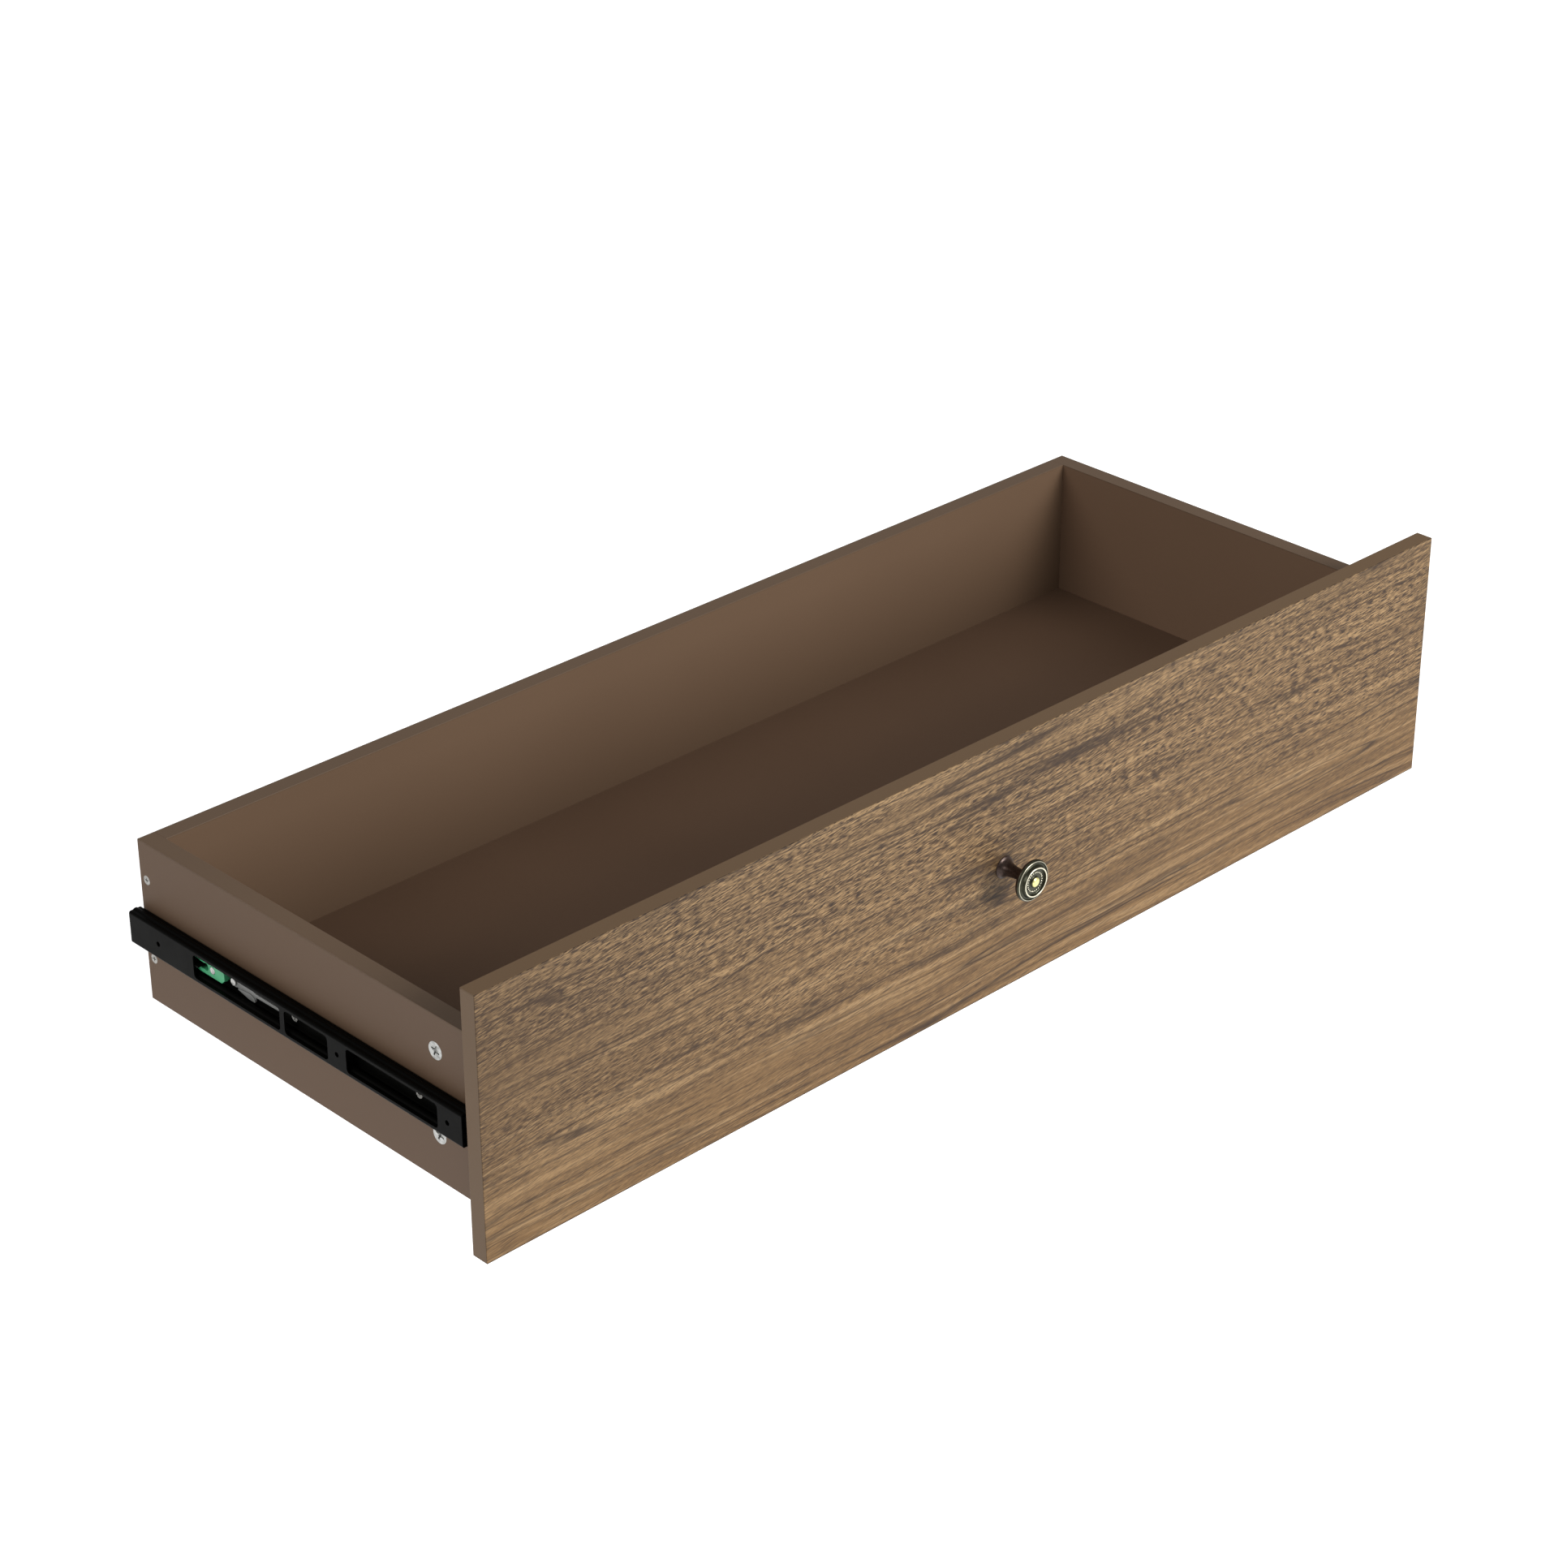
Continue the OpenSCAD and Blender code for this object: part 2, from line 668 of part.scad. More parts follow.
module cabinet_rail_section() {
    difference() {
        union() {
            difference() {
                translate([slide_space, 0]) mirror([1, 0])
                    rolled_blank(0, slide_space - CAB_LIP_U, CAB_V1, BEND_R);
                translate([slide_space, 0]) mirror([1, 0])
                    rolled_blank(steel_t, slide_space, CAB_V0, BEND_R - steel_t);
            }
            for (s = [0, 1]) mirror([0, s]) {
                intersection() {
                    translate([BALL_U, BALL_V]) circle(r = RACE_R + steel_t);
                    translate([0, CAB_V0]) square([slide_space, CROWN_V]);
                }
                translate([CAB_LIP_U, RAIL_V + LIP_AIR]) square([steel_t, CAB_V1 - RAIL_V - LIP_AIR]);
            }
        }
        at_races() circle(r = RACE_R);
    }
}

module cabinet_windows() {
    off_web(slide_space - steel_t - EPS, slide_space + EPS) {
        window(RAIL_Y0 + CAB_HOLES[0] + WEB_EDGE, RAIL_Y0 + CAB_HOLES[1] - WEB_EDGE);
        window(RAIL_Y0 + CAB_HOLES[1] + WEB_EDGE, LEVER_WINDOW_Y0 - WEB_EDGE / 2);
        window(LEVER_WINDOW_Y0, LEVER_WINDOW_Y1);
    }
}

module cabinet_rail() {
    web = slide_space - steel_t;
    color("#1f1c1a") difference() {
        union() {
            difference() {
                along(RAIL_Y0, CAB_Y1) cabinet_rail_section();
                cabinet_windows();
            }
            // Stop tab that the lever's shoulder meets when the drawer is out
            translate([LEVER_U0 + CLEAR, STOP_Y1 - steel_t, STOP_V0])
                cube([web - LEVER_U0 - CLEAR + EPS, steel_t, STOP_V1 - STOP_V0]);
            // Fin that stands in the catch's fork when the drawer is shut
            translate([FIN_U0, FIN_Y0, -steel_t / 2]) cube([web - FIN_U0 + EPS, FIN_Y1 - FIN_Y0, steel_t]);
            // Turned-in end that backs the bumper
            translate([CAB_LIP_U, CAB_Y1 - steel_t, -BUMPER_V])
                cube([web - CAB_LIP_U + EPS, steel_t, 2 * BUMPER_V]);
        }
        for (y = CAB_HOLES) translate([0, RAIL_Y0 + y, 0])
            pin_u(rail_hole_d, web - 1, slide_space + 1);
    }
}

module left_cabinet_rail() { on_left() cabinet_rail(); }

module right_cabinet_rail() { on_right() cabinet_rail(); }

module rail_bumper() {
    color("#3c3c3c") along(CAB_Y1 - steel_t - bumper_t, CAB_Y1 - steel_t)
        translate([CAB_LIP_U + CLEAR, -BUMPER_V])
            square([slide_space - steel_t - CAB_LIP_U - CLEAR, 2 * BUMPER_V]);
}

module left_rail_bumper() { on_left() rail_bumper(); }

module right_rail_bumper() { on_right() rail_bumper(); }

// ---- Slides: balls and their strips ----

module at_balls() {
    for (i = [0:ball_count - 1])
        translate([BALL_U, STRIP_Y0 + STRIP_END + i * ball_pitch, BALL_V]) children();
}

// Side 0 is the strip above the centre line, side 1 the one below
module ball_strip(side) {
    color("#8f9193") mirror([0, 0, side]) difference() {
        translate([BALL_U - STRIP_U, STRIP_Y0, STRIP_V0]) cube([2 * STRIP_U, STRIP_LEN, strip_t]);
        at_balls() translate([0, 0, -ball_d]) cylinder(r = RACE_R, h = 2 * ball_d);
    }
}

module balls() {
    color("silver") for (side = [0, 1]) mirror([0, 0, side]) at_balls() sphere(d = ball_d);
}

module left_upper_ball_strip() { on_left() ball_strip(0); }

module left_lower_ball_strip() { on_left() ball_strip(1); }

module left_balls() { on_left() balls(); }

module right_upper_ball_strip() { on_right() ball_strip(1); }

module right_lower_ball_strip() { on_right() ball_strip(0); }

module right_balls() { on_right() balls(); }

// ---- Knob ----

// Half outline of the turned knob, radius against height above the drawer front
function knob_outline() =
    let (
        r = knob_d / 2,
        foot = knob_foot_d / 2,
        neck = knob_neck_d / 2,
        rim = r - KNOB_EDGE_R,
        edge = knob_out - KNOB_CROWN - KNOB_EDGE_R,
        well = knob_out - KNOB_WELL,
        ring = KNOB_RING * r,
        dome = KNOB_DOME * r,
        steps = [0:0.125:1]
    )
    concat(
        [[0, 0], [foot, 0], [foot, FOOT_LIP]],
        [for (t = steps)
            [neck + (foot - FOOT_STEP - neck) * pow(1 - t, FOOT_SWEEP),
             FOOT_CURVE + (FLARE * knob_out - FOOT_CURVE) * t]],
        [for (t = steps)
            [neck + (rim - KNOB_EDGE_R - neck) * pow(t, 3),
             WAIST * knob_out + (edge - KNOB_EDGE_R - WAIST * knob_out) * t]],
        arc(rim, edge, KNOB_EDGE_R, -60, 60, 6),
        arc(rim - RIM_BEAD_IN, edge + RIM_BEAD_RISE * KNOB_EDGE_R, RIM_BEAD_R, 60, 180, 4),
        [for (t = steps)
            [rim - COVE_IN - (rim - COVE_IN - ring - RING_FOOT) * t,
             edge + KNOB_EDGE_R - COVE_DROP + COVE_RISE * pow(t, 2)]],
        arc(ring, knob_out - RING_DROP, RING_R, 40, 180, 6),
        [[ring - RING_FOOT, well], [dome + RING_FOOT / 2, well]],
        [for (a = [0:15:75]) [dome * cos(a), knob_out - DOME_H * (1 - sin(a))]],
        [[0, knob_out]]
    );

module knob() {
    color("#3b3129") translate([0, -front_t, FRONT_ZC]) rotate([90, 0, 0]) difference() {
        union() {
            rotate_extrude() polygon(knob_outline());
            for (i = [0:bead_count - 1]) rotate([0, 0, i * 360 / bead_count])
                translate([BEAD_RING * knob_d / 2, 0, knob_out - KNOB_WELL]) sphere(d = BEAD_D, $fn = 16);
        }
        translate([0, 0, -EPS]) cylinder(d = knob_screw_d, h = KNOB_BORE);
    }
}

module knob_screw() {
    color("#c9c7c2") translate([0, 0, FRONT_ZC]) rotate([90, 0, 0]) difference() {
        union() {
            translate([0, 0, -KNOB_SCREW_HEAD_T]) cylinder(d = 2 * knob_screw_d, h = KNOB_SCREW_HEAD_T);
            cylinder(d = knob_screw_d, h = front_t + KNOB_BORE - 2);
        }
        for (a = [0, 90]) rotate([0, 0, a])
            translate([-knob_screw_d / 2, -CROSS_W / 2, -KNOB_SCREW_HEAD_T - EPS])
                cube([knob_screw_d, CROSS_W, CROSS_DEEP]);
    }
}

// ---- Drawing ----

front_panel();
front_face_sheet();
front_top_band();
front_bottom_band();
front_left_band();
front_right_band();
left_side_panel();
right_side_panel();
back_panel();
bottom_panel();
left_top_band();
right_top_band();
back_top_band();
knob();
knob_screw();
cam_bolts();
dowels();
back_screws();
left_upper_cam();
left_lower_cam();
right_upper_cam();
right_lower_cam();
left_drawer_rail();
right_drawer_rail();
left_rail_screws();
right_rail_screws();
left_catch();
right_catch();
left_catch_rivet();
right_catch_rivet();
left_release_lever();
right_release_lever();
left_lever_rivet();
right_lever_rivet();
left_cabinet_rail();
right_cabinet_rail();
left_rail_bumper();
right_rail_bumper();
left_upper_ball_strip();
left_lower_ball_strip();
left_balls();
right_upper_ball_strip();
right_lower_ball_strip();
right_balls();
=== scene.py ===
"""Looks of a wide wooden drawer on two ball bearing slides.

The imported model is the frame: every board, rail and fastener stays where it is and gets its
finish here. Pieces whose real shape is finer than the frame's solid are modelled again.
"""

import json
import logging
import math
from dataclasses import dataclass, field
from enum import Enum
from typing import Protocol

import bmesh
import bpy
from mathutils import Matrix, Vector

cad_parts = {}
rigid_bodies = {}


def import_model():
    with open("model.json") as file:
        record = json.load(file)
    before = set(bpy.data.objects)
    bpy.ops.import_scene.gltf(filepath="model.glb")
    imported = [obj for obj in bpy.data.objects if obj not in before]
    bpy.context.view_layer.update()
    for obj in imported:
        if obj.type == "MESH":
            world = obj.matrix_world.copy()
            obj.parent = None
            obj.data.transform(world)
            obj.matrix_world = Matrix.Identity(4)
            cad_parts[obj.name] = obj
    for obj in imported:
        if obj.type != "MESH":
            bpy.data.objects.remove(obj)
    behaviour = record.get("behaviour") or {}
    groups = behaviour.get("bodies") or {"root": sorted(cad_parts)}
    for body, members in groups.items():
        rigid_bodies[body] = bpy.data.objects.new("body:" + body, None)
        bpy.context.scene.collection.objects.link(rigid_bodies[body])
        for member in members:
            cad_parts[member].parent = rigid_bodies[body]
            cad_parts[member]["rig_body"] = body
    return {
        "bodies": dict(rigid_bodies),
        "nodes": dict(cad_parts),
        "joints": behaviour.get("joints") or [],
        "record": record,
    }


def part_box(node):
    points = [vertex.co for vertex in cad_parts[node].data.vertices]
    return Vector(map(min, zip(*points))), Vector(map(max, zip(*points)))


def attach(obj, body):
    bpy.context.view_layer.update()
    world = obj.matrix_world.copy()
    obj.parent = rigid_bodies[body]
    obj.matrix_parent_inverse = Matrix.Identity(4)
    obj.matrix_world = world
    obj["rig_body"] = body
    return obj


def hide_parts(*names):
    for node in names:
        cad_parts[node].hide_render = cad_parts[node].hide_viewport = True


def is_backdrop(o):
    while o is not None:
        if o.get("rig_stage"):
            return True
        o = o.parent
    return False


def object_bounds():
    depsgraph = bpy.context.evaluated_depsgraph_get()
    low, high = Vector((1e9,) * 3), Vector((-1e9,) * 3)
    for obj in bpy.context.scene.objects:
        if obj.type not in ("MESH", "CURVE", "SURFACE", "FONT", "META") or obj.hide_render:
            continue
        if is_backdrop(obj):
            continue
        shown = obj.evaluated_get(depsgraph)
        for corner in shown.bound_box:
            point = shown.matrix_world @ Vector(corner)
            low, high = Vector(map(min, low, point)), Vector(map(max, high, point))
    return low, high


LOG = logging.getLogger("drawer")
MM = 0.001
SAME_PLACE = 1e-6

Triple = tuple[float, float, float]
Color = tuple[float, float, float, float]

BLACK: Color = (0, 0, 0, 1)
WHITE: Color = (1, 1, 1, 1)


def tone(red: int, green: int, blue: int) -> Color:
    """Turns a colour chip's 0-255 values into the linear colour that a shader takes.

    Args:
        red: Red, 0 to 255.
        green: Green, 0 to 255.
        blue: Blue, 0 to 255.

    Returns:
        The linear colour with full alpha.
    """
    full, knee, slope, lift, power = 255, 0.04045, 12.92, 0.055, 2.4
    linear = []
    for value in (red, green, blue):
        share = value / full
        linear.append(share / slope if share <= knee else ((share + lift) / (1 + lift)) ** power)
    return (linear[0], linear[1], linear[2], 1.0)


class Side(Enum):
    """The two sides of the drawer."""

    LEFT = "left"
    RIGHT = "right"

    @property
    def out(self) -> int:
        """Direction along X that points away from the drawer on this side."""
        return -1 if self is Side.LEFT else 1


# ---------------------------------------------------------------------------
# Shader bench
# ---------------------------------------------------------------------------


class Bench:
    """Wires up the nodes of one material."""

    def __init__(self, name: str) -> None:
        """Starts a material with its surface shader.

        Args:
            name: Name of the material.
        """
        self.material = bpy.data.materials.new(name)
        self.material.use_nodes = True
        self.tree = self.material.node_tree
        self.shader = self.tree.nodes["Principled BSDF"]
        self.position = self.node("ShaderNodeTexCoord").outputs["Object"]

    def node(self, kind: str, **settings: object) -> bpy.types.Node:
        """Adds one node.

        Args:
            kind: Type of the node.
            **settings: Properties to set on it.

        Returns:
            The new node.
        """
        made = self.tree.nodes.new(kind)
        for key, value in settings.items():
            setattr(made, key, value)
        return made

    def link(self, value: object, socket: bpy.types.NodeSocket) -> None:
        """Links an output to a socket, or sets the socket to a plain value.

        Args:
            value: Output of another node, or a plain value.
            socket: Input that takes it.
        """
        if isinstance(value, bpy.types.NodeSocket):
            self.tree.links.new(value, socket)
        else:
            socket.default_value = value

    def place(
        self,
        stretch: Triple = (1.0, 1.0, 1.0),
        turn: Triple = (0.0, 0.0, 0.0),
        shift: Triple = (0.0, 0.0, 0.0),
        source: bpy.types.NodeSocket | None = None,
    ) -> bpy.types.NodeSocket:
        """Stretches, turns and shifts a pattern on the piece.

        Args:
            stretch: Scale along each axis.
            turn: Turn about each axis, in degrees.
            shift: Shift along each axis, in metres.
            source: Vector to start from; the piece's own coordinates if left out.

        Returns:
            The placed coordinates.
        """
        mapping = self.node("ShaderNodeMapping")
        self.link(source or self.position, mapping.inputs["Vector"])
        mapping.inputs["Scale"].default_value = stretch
        mapping.inputs["Rotation"].default_value = [math.radians(angle) for angle in turn]
        mapping.inputs["Location"].default_value = shift
        return mapping.outputs["Vector"]

    def noise(
        self,
        where: bpy.types.NodeSocket,
        detail: float = 3.0,
        rough: float = 0.5,
        warp: float = 0.0,
    ) -> bpy.types.NodeSocket:
        """Adds cloudy noise, one cloud in a unit of its coordinates.

        Args:
            where: Coordinates.
            detail: Number of finer layers.
            rough: Weight of the finer layers.
            warp: Distortion.

        Returns:
            The noise, 0 to 1.
        """
        made = self.node("ShaderNodeTexNoise")
        self.link(where, made.inputs["Vector"])
        made.inputs["Scale"].default_value = 1.0
        made.inputs["Detail"].default_value = detail
        made.inputs["Roughness"].default_value = rough
        made.inputs["Distortion"].default_value = warp
        return made.outputs["Fac"]

    def ramp(
        self, factor: bpy.types.NodeSocket, stops: list[tuple[float, Color]]
    ) -> bpy.types.NodeSocket:
        """Maps a factor to colours.

        Args:
            factor: Value to map.
            stops: Position and colour of each stop.

        Returns:
            The colour.
        """
        made = self.node("ShaderNodeValToRGB")
        self.link(factor, made.inputs["Fac"])
        elements = made.color_ramp.elements
        while len(elements) < len(stops):
            elements.new(0.5)
        for element, (position, color) in zip(elements, stops):
            element.position = position
            element.color = color
        return made.outputs["Color"]

    def band(
        self, factor: bpy.types.NodeSocket, low: float, high: float, to_low: float, to_high: float
    ) -> bpy.types.NodeSocket:
        """Maps one stretch of a value onto another, clamped.

        Args:
            factor: Value to map.
            low: Where the stretch starts.
            high: Where it ends.
            to_low: What its start becomes.
            to_high: What its end becomes.

        Returns:
            The mapped value.
        """
        made = self.node("ShaderNodeMapRange", clamp=True)
        for key, value in (
            ("Value", factor), ("From Min", low), ("From Max", high),
            ("To Min", to_low), ("To Max", to_high),
        ):
            self.link(value, made.inputs[key])
        return made.outputs["Result"]

    def math(self, what: str, first: object, second: object = 0.0) -> bpy.types.NodeSocket:
        """Joins two values.

        Args:
            what: Operation, named as the node names it.
            first: First value.
            second: Second value.

        Returns:
            The result.
        """
        made = self.node("ShaderNodeMath", operation=what)
        self.link(first, made.inputs[0])
        self.link(second, made.inputs[1])
        return made.outputs["Value"]

    def blend(self, factor: object, first: object, second: object) -> bpy.types.NodeSocket:
        """Mixes two colours.

        Args:
            factor: Share of the second colour.
            first: First colour.
            second: Second colour.

        Returns:
            The mixed colour.
        """
        share, one, two, result = 0, 6, 7, 2
        made = self.node("ShaderNodeMix", data_type="RGBA", blend_type="MIX")
        self.link(factor, made.inputs[share])
        self.link(first, made.inputs[one])
        self.link(second, made.inputs[two])
        return made.outputs[result]

    def relief(self, height: object, strength: float, depth: float) -> None:
        """Raises the surface by a height pattern.

        Args:
            height: Pattern, 0 to 1.
            strength: Share of the effect.
            depth: Depth of the pattern in metres.
        """
        made = self.node("ShaderNodeBump")
        made.inputs["Strength"].default_value = strength
        made.inputs["Distance"].default_value = depth
        self.link(height, made.inputs["Height"])
        self.link(made.outputs["Normal"], self.shader.inputs["Normal"])

    def finish(
        self, color: object, rough: object, metallic: float = 0.0, gloss: float = 0.5
    ) -> bpy.types.Material:
        """Connects the surface and hands the material over.

        Args:
            color: Base colour.
            rough: Roughness.
            metallic: Metallic share.
            gloss: Specular level.

        Returns:
            The finished material.
        """
        self.link(color, self.shader.inputs["Base Color"])
        self.link(rough, self.shader.inputs["Roughness"])
        self.shader.inputs["Metallic"].default_value = metallic
        self.shader.inputs["Specular IOR Level"].default_value = gloss
        return self.material


# ---------------------------------------------------------------------------
# Finishes
# ---------------------------------------------------------------------------


class Finish(Protocol):
    """What every finish can do: say its name and build its material."""

    name: str

    def build(self) -> bpy.types.Material:
        """Builds the material."""


@dataclass(frozen=True)
class OakFace:
    """Brushed brown oak on the drawer front, its grain level.

    A wave is the number of pattern units in a metre along X, Y and Z. A lift is in metres.
    A vein has how close its lines lie, their half width and their strength.
    """

    name: str = "oak_face"
    umber: Color = tone(34, 21, 12)
    dark: Color = tone(60, 43, 26)
    middle: Color = tone(94, 72, 44)
    light: Color = tone(131, 106, 74)
    warm: Color = tone(98, 69, 36)
    grey: Color = tone(89, 72, 52)
    bottom: float = -0.106
    top: float = 0.123
    slow_wave: Triple = (1.7, 1.0, 4.0)
    slow_lift: float = 0.016
    quick_wave: Triple = (9.0, 1.0, 30.0)
    quick_lift: float = 0.0022
    broad_wave: Triple = (1.3, 1.0, 17.0)
    streak_wave: Triple = (3.5, 1.0, 190.0)
    coarse_wave: Triple = (2.2, 1.0, 13.0)
    fleck_wave: Triple = (105.0, 1.0, 900.0)
    dash_wave: Triple = (40.0, 1.0, 900.0)
    fade_wave: Triple = (5.0, 1.0, 45.0)
    fleck_slant: float = 8.0
    vein_stretch: float = 40.0
    long_vein: Triple = (42.0, 0.011, 0.85)
    fine_vein: Triple = (110.0, 0.026, 0.60)
    brushing: float = 0.00022
    gloss: float = 0.2

    def swayed(self, bench: Bench) -> bpy.types.NodeSocket:
        """Coordinates that rise and fall slowly along the board, as grain does.

        Args:
            bench: Material being wired.

        Returns:
            The swayed coordinates.
        """
        slow = bench.noise(bench.place(self.slow_wave), detail=2.0)
        quick = bench.noise(bench.place(self.quick_wave), detail=2.0)
        lift = bench.math("ADD", bench.band(slow, 0.0, 1.0, -self.slow_lift, self.slow_lift),
                          bench.band(quick, 0.0, 1.0, -self.quick_lift, self.quick_lift))
        rise = bench.node("ShaderNodeCombineXYZ")
        bench.link(lift, rise.inputs["Z"])
        moved = bench.node("ShaderNodeVectorMath", operation="ADD")
        bench.link(bench.position, moved.inputs[0])
        bench.link(rise.outputs["Vector"], moved.inputs[1])
        return moved.outputs["Vector"]

    def veins(
        self, bench: Bench, where: bpy.types.NodeSocket, close: float, width: float, force: float
    ) -> bpy.types.NodeSocket:
        """Thin dark lines that run the length of the board and fade in and out.

        Args:
            bench: Material being wired.
            where: Swayed coordinates.
            close: How close the lines lie.
            width: Half width of a line, as a step of the pattern it follows.
            force: Strength at the line's middle.

        Returns:
            Strength of the lines, 0 to force.
        """
        flowing = bench.place((close / self.vein_stretch, 1.0, close), shift=(close, 0.0, 0.4),
                              source=where)
        flow = bench.noise(flowing, detail=1.0, rough=0.3)
        off = bench.math("ABSOLUTE", bench.math("SUBTRACT", flow, 0.5))
        core = bench.band(off, 0.0, width, 1.0, 0.0)
        fading = bench.place(self.fade_wave, shift=(close, 0.0, 0.0), source=where)
        fade = bench.noise(fading, detail=2.0)
        return bench.math("MULTIPLY", core, bench.band(fade, 0.36, 0.46, 0.0, force))

    def build(self) -> bpy.types.Material:
        """Lays broad bands, then streaks, then slanted flecks, then thin long veins."""
        bench = Bench(self.name)
        where = self.swayed(bench)
        slant = bench.place(turn=(0.0, self.fleck_slant, 0.0), source=where)
        split = bench.node("ShaderNodeSeparateXYZ")
        bench.link(bench.position, split.inputs["Vector"])
        height = bench.band(split.outputs["Z"], self.bottom, self.top, 0.0, 1.0)

        # Broad bands, warmer at the bottom and greyer at the top, under light and dark streaks.
        broad = bench.noise(bench.place(self.broad_wave, shift=(0.4, 0.0, 0.3), source=where),
                            rough=0.6)
        body = bench.ramp(broad, [(0.30, self.dark), (0.44, self.middle), (0.58, self.middle),
                                  (0.72, self.light)])
        hue = bench.blend(height, self.warm, self.grey)
        body = bench.blend(0.40, body, hue)
        streak = bench.noise(bench.place(self.streak_wave, source=where), detail=4.0, rough=0.62)
        body = bench.blend(bench.band(streak, 0.50, 0.66, 0.0, 0.80), body, self.light)
        thin = bench.band(height, 0.10, 0.45, 0.60, 0.95)
        body = bench.blend(bench.math("MULTIPLY", bench.band(streak, 0.49, 0.33, 0.0, 1.0), thin),
                           body, self.dark)

        # Slanted pores, thick on the grainy patches and thin towards the bottom.
        patches = bench.place(self.coarse_wave, shift=(0.0, 0.0, 0.11), source=where)
        coarse = bench.noise(patches, detail=2.0)
        grainy = bench.math("MULTIPLY", bench.band(coarse, 0.34, 0.50, 0.55, 1.0),
                            bench.band(height, 0.22, 0.50, 0.30, 1.0))
        fleck = bench.noise(bench.place(self.fleck_wave, source=slant), detail=2.0, rough=0.7)
        body = bench.blend(bench.math("MULTIPLY", bench.band(fleck, 0.50, 0.41, 0.0, 1.0), grainy),
                           body, self.umber)
        body = bench.blend(bench.math("MULTIPLY", bench.band(fleck, 0.52, 0.62, 0.0, 0.95), grainy),
                           body, self.light)
        dash = bench.noise(bench.place(self.dash_wave, source=slant), detail=2.0)
        body = bench.blend(bench.band(dash, 0.55, 0.63, 0.0, 0.50), body, self.umber)

        # Long veins, the dark line at the bottom edge, and the darker left part.
        long_veins = self.veins(bench, where, *self.long_vein)
        fine_veins = self.veins(bench, where, *self.fine_vein)
        body = bench.blend(long_veins, body, self.umber)
        body = bench.blend(fine_veins, body, self.umber)
        body = bench.blend(bench.band(height, 0.0035, 0.0065, 0.75, 0.0), body, self.umber)
        left = bench.band(split.outputs["X"], -0.54, -0.30, 0.38, 0.0)
        body = bench.blend(bench.math("MULTIPLY", left, bench.band(height, 0.22, 0.45, 0.0, 1.0)),
                           body, self.dark)

        raised = bench.math("SUBTRACT", bench.math("MULTIPLY", fleck, grainy), long_veins)
        bench.relief(raised, strength=0.30, depth=self.brushing)
        return bench.finish(body, bench.band(fleck, 0.3, 0.7, 0.52, 0.66), gloss=self.gloss)


@dataclass(frozen=True)
class BoardFoil:
    """Smooth matt foil that wraps the boards of the box."""

    name: str
    base: Color
    deep: Color
    rough: float = 0.55
    cloud_pitch: float = 3.0
    print_pitch: float = 900.0
    gloss: float = 0.2

    def build(self) -> bpy.types.Material:
        """A faint cloudiness in colour over the fine print of the foil."""
        bench = Bench(self.name)
        cloud = bench.noise(bench.place((self.cloud_pitch,) * 3))
        print_marks = bench.noise(bench.place((self.print_pitch,) * 3), detail=2.0)
        both = bench.math("ADD", bench.math("MULTIPLY", cloud, 0.7),
                          bench.math("MULTIPLY", print_marks, 0.3))
        color = bench.ramp(both, [(0.30, self.deep), (0.70, self.base)])
        bench.relief(print_marks, strength=0.12, depth=0.00008)
        rough = bench.band(cloud, 0.3, 0.7, self.rough - 0.04, self.rough + 0.04)
        return bench.finish(color, rough, gloss=self.gloss)


@dataclass(frozen=True)
class RolledSteel:
    """Painted or bare sheet steel with faint rolling marks along its length, Y."""

    name: str
    base: Color
    worn: Color
    rough: float
    metallic: float
    gloss: float = 0.5
    line_wave: Triple = (900.0, 14.0, 900.0)
    cloud_pitch: float = 45.0

    def build(self) -> bpy.types.Material:
        """Fine lines along the rolling direction, and a little wear."""
        bench = Bench(self.name)
        lines = bench.noise(bench.place(self.line_wave), detail=2.0)
        cloud = bench.noise(bench.place((self.cloud_pitch,) * 3), detail=4.0, rough=0.6)
        color = bench.blend(bench.band(lines, 0.4, 0.75, 0.0, 0.35), self.base, self.worn)
        color = bench.blend(bench.band(cloud, 0.55, 0.8, 0.0, 0.3), color, self.worn)
        bench.relief(lines, strength=0.15, depth=0.00004)
        rough = bench.band(cloud, 0.3, 0.7, self.rough - 0.06, self.rough + 0.08)
        return bench.finish(color, rough, self.metallic, self.gloss)


@dataclass(frozen=True)
class CastMetal:
    """Plated or cast small metal parts: cam locks, screws, rivets, balls."""

    name: str
    base: Color
    dull: Color
    rough: float
    pitch: float = 350.0
    skin_finer: float = 7
    metallic: float = 0.9

    def build(self) -> bpy.types.Material:
        """Cloudy plating with a fine cast skin."""
        bench = Bench(self.name)
        cloud = bench.noise(bench.place((self.pitch,) * 3), detail=4.0, rough=0.6)
        skin = bench.noise(bench.place((self.pitch * self.skin_finer,) * 3), detail=2.0)
        color = bench.ramp(cloud, [(0.32, self.dull), (0.58, self.base)])
        bench.relief(skin, strength=0.18, depth=0.00005)
        rough = bench.band(cloud, 0.3, 0.7, self.rough, self.rough + 0.15)
        return bench.finish(color, rough, self.metallic)


@dataclass(frozen=True)
class Moulded:
    """Moulded plastic or rubber with a fine spark-eroded skin."""

    name: str
    base: Color
    deep: Color
    rough: float
    flow_wave: Triple = (120.0, 40.0, 120.0)
    skin_pitch: float = 2600.0

    def build(self) -> bpy.types.Material:
        """Slight flow marks and a fine skin."""
        bench = Bench(self.name)
        flow = bench.noise(bench.place(self.flow_wave), warp=0.6)
        skin = bench.noise(bench.place((self.skin_pitch,) * 3), detail=2.0)
        color = bench.ramp(flow, [(0.30, self.deep), (0.66, self.base)])
        bench.relief(skin, strength=0.2, depth=0.00006)
        rough = bench.band(flow, 0.3, 0.7, self.rough - 0.05, self.rough + 0.07)
        return bench.finish(color, rough)


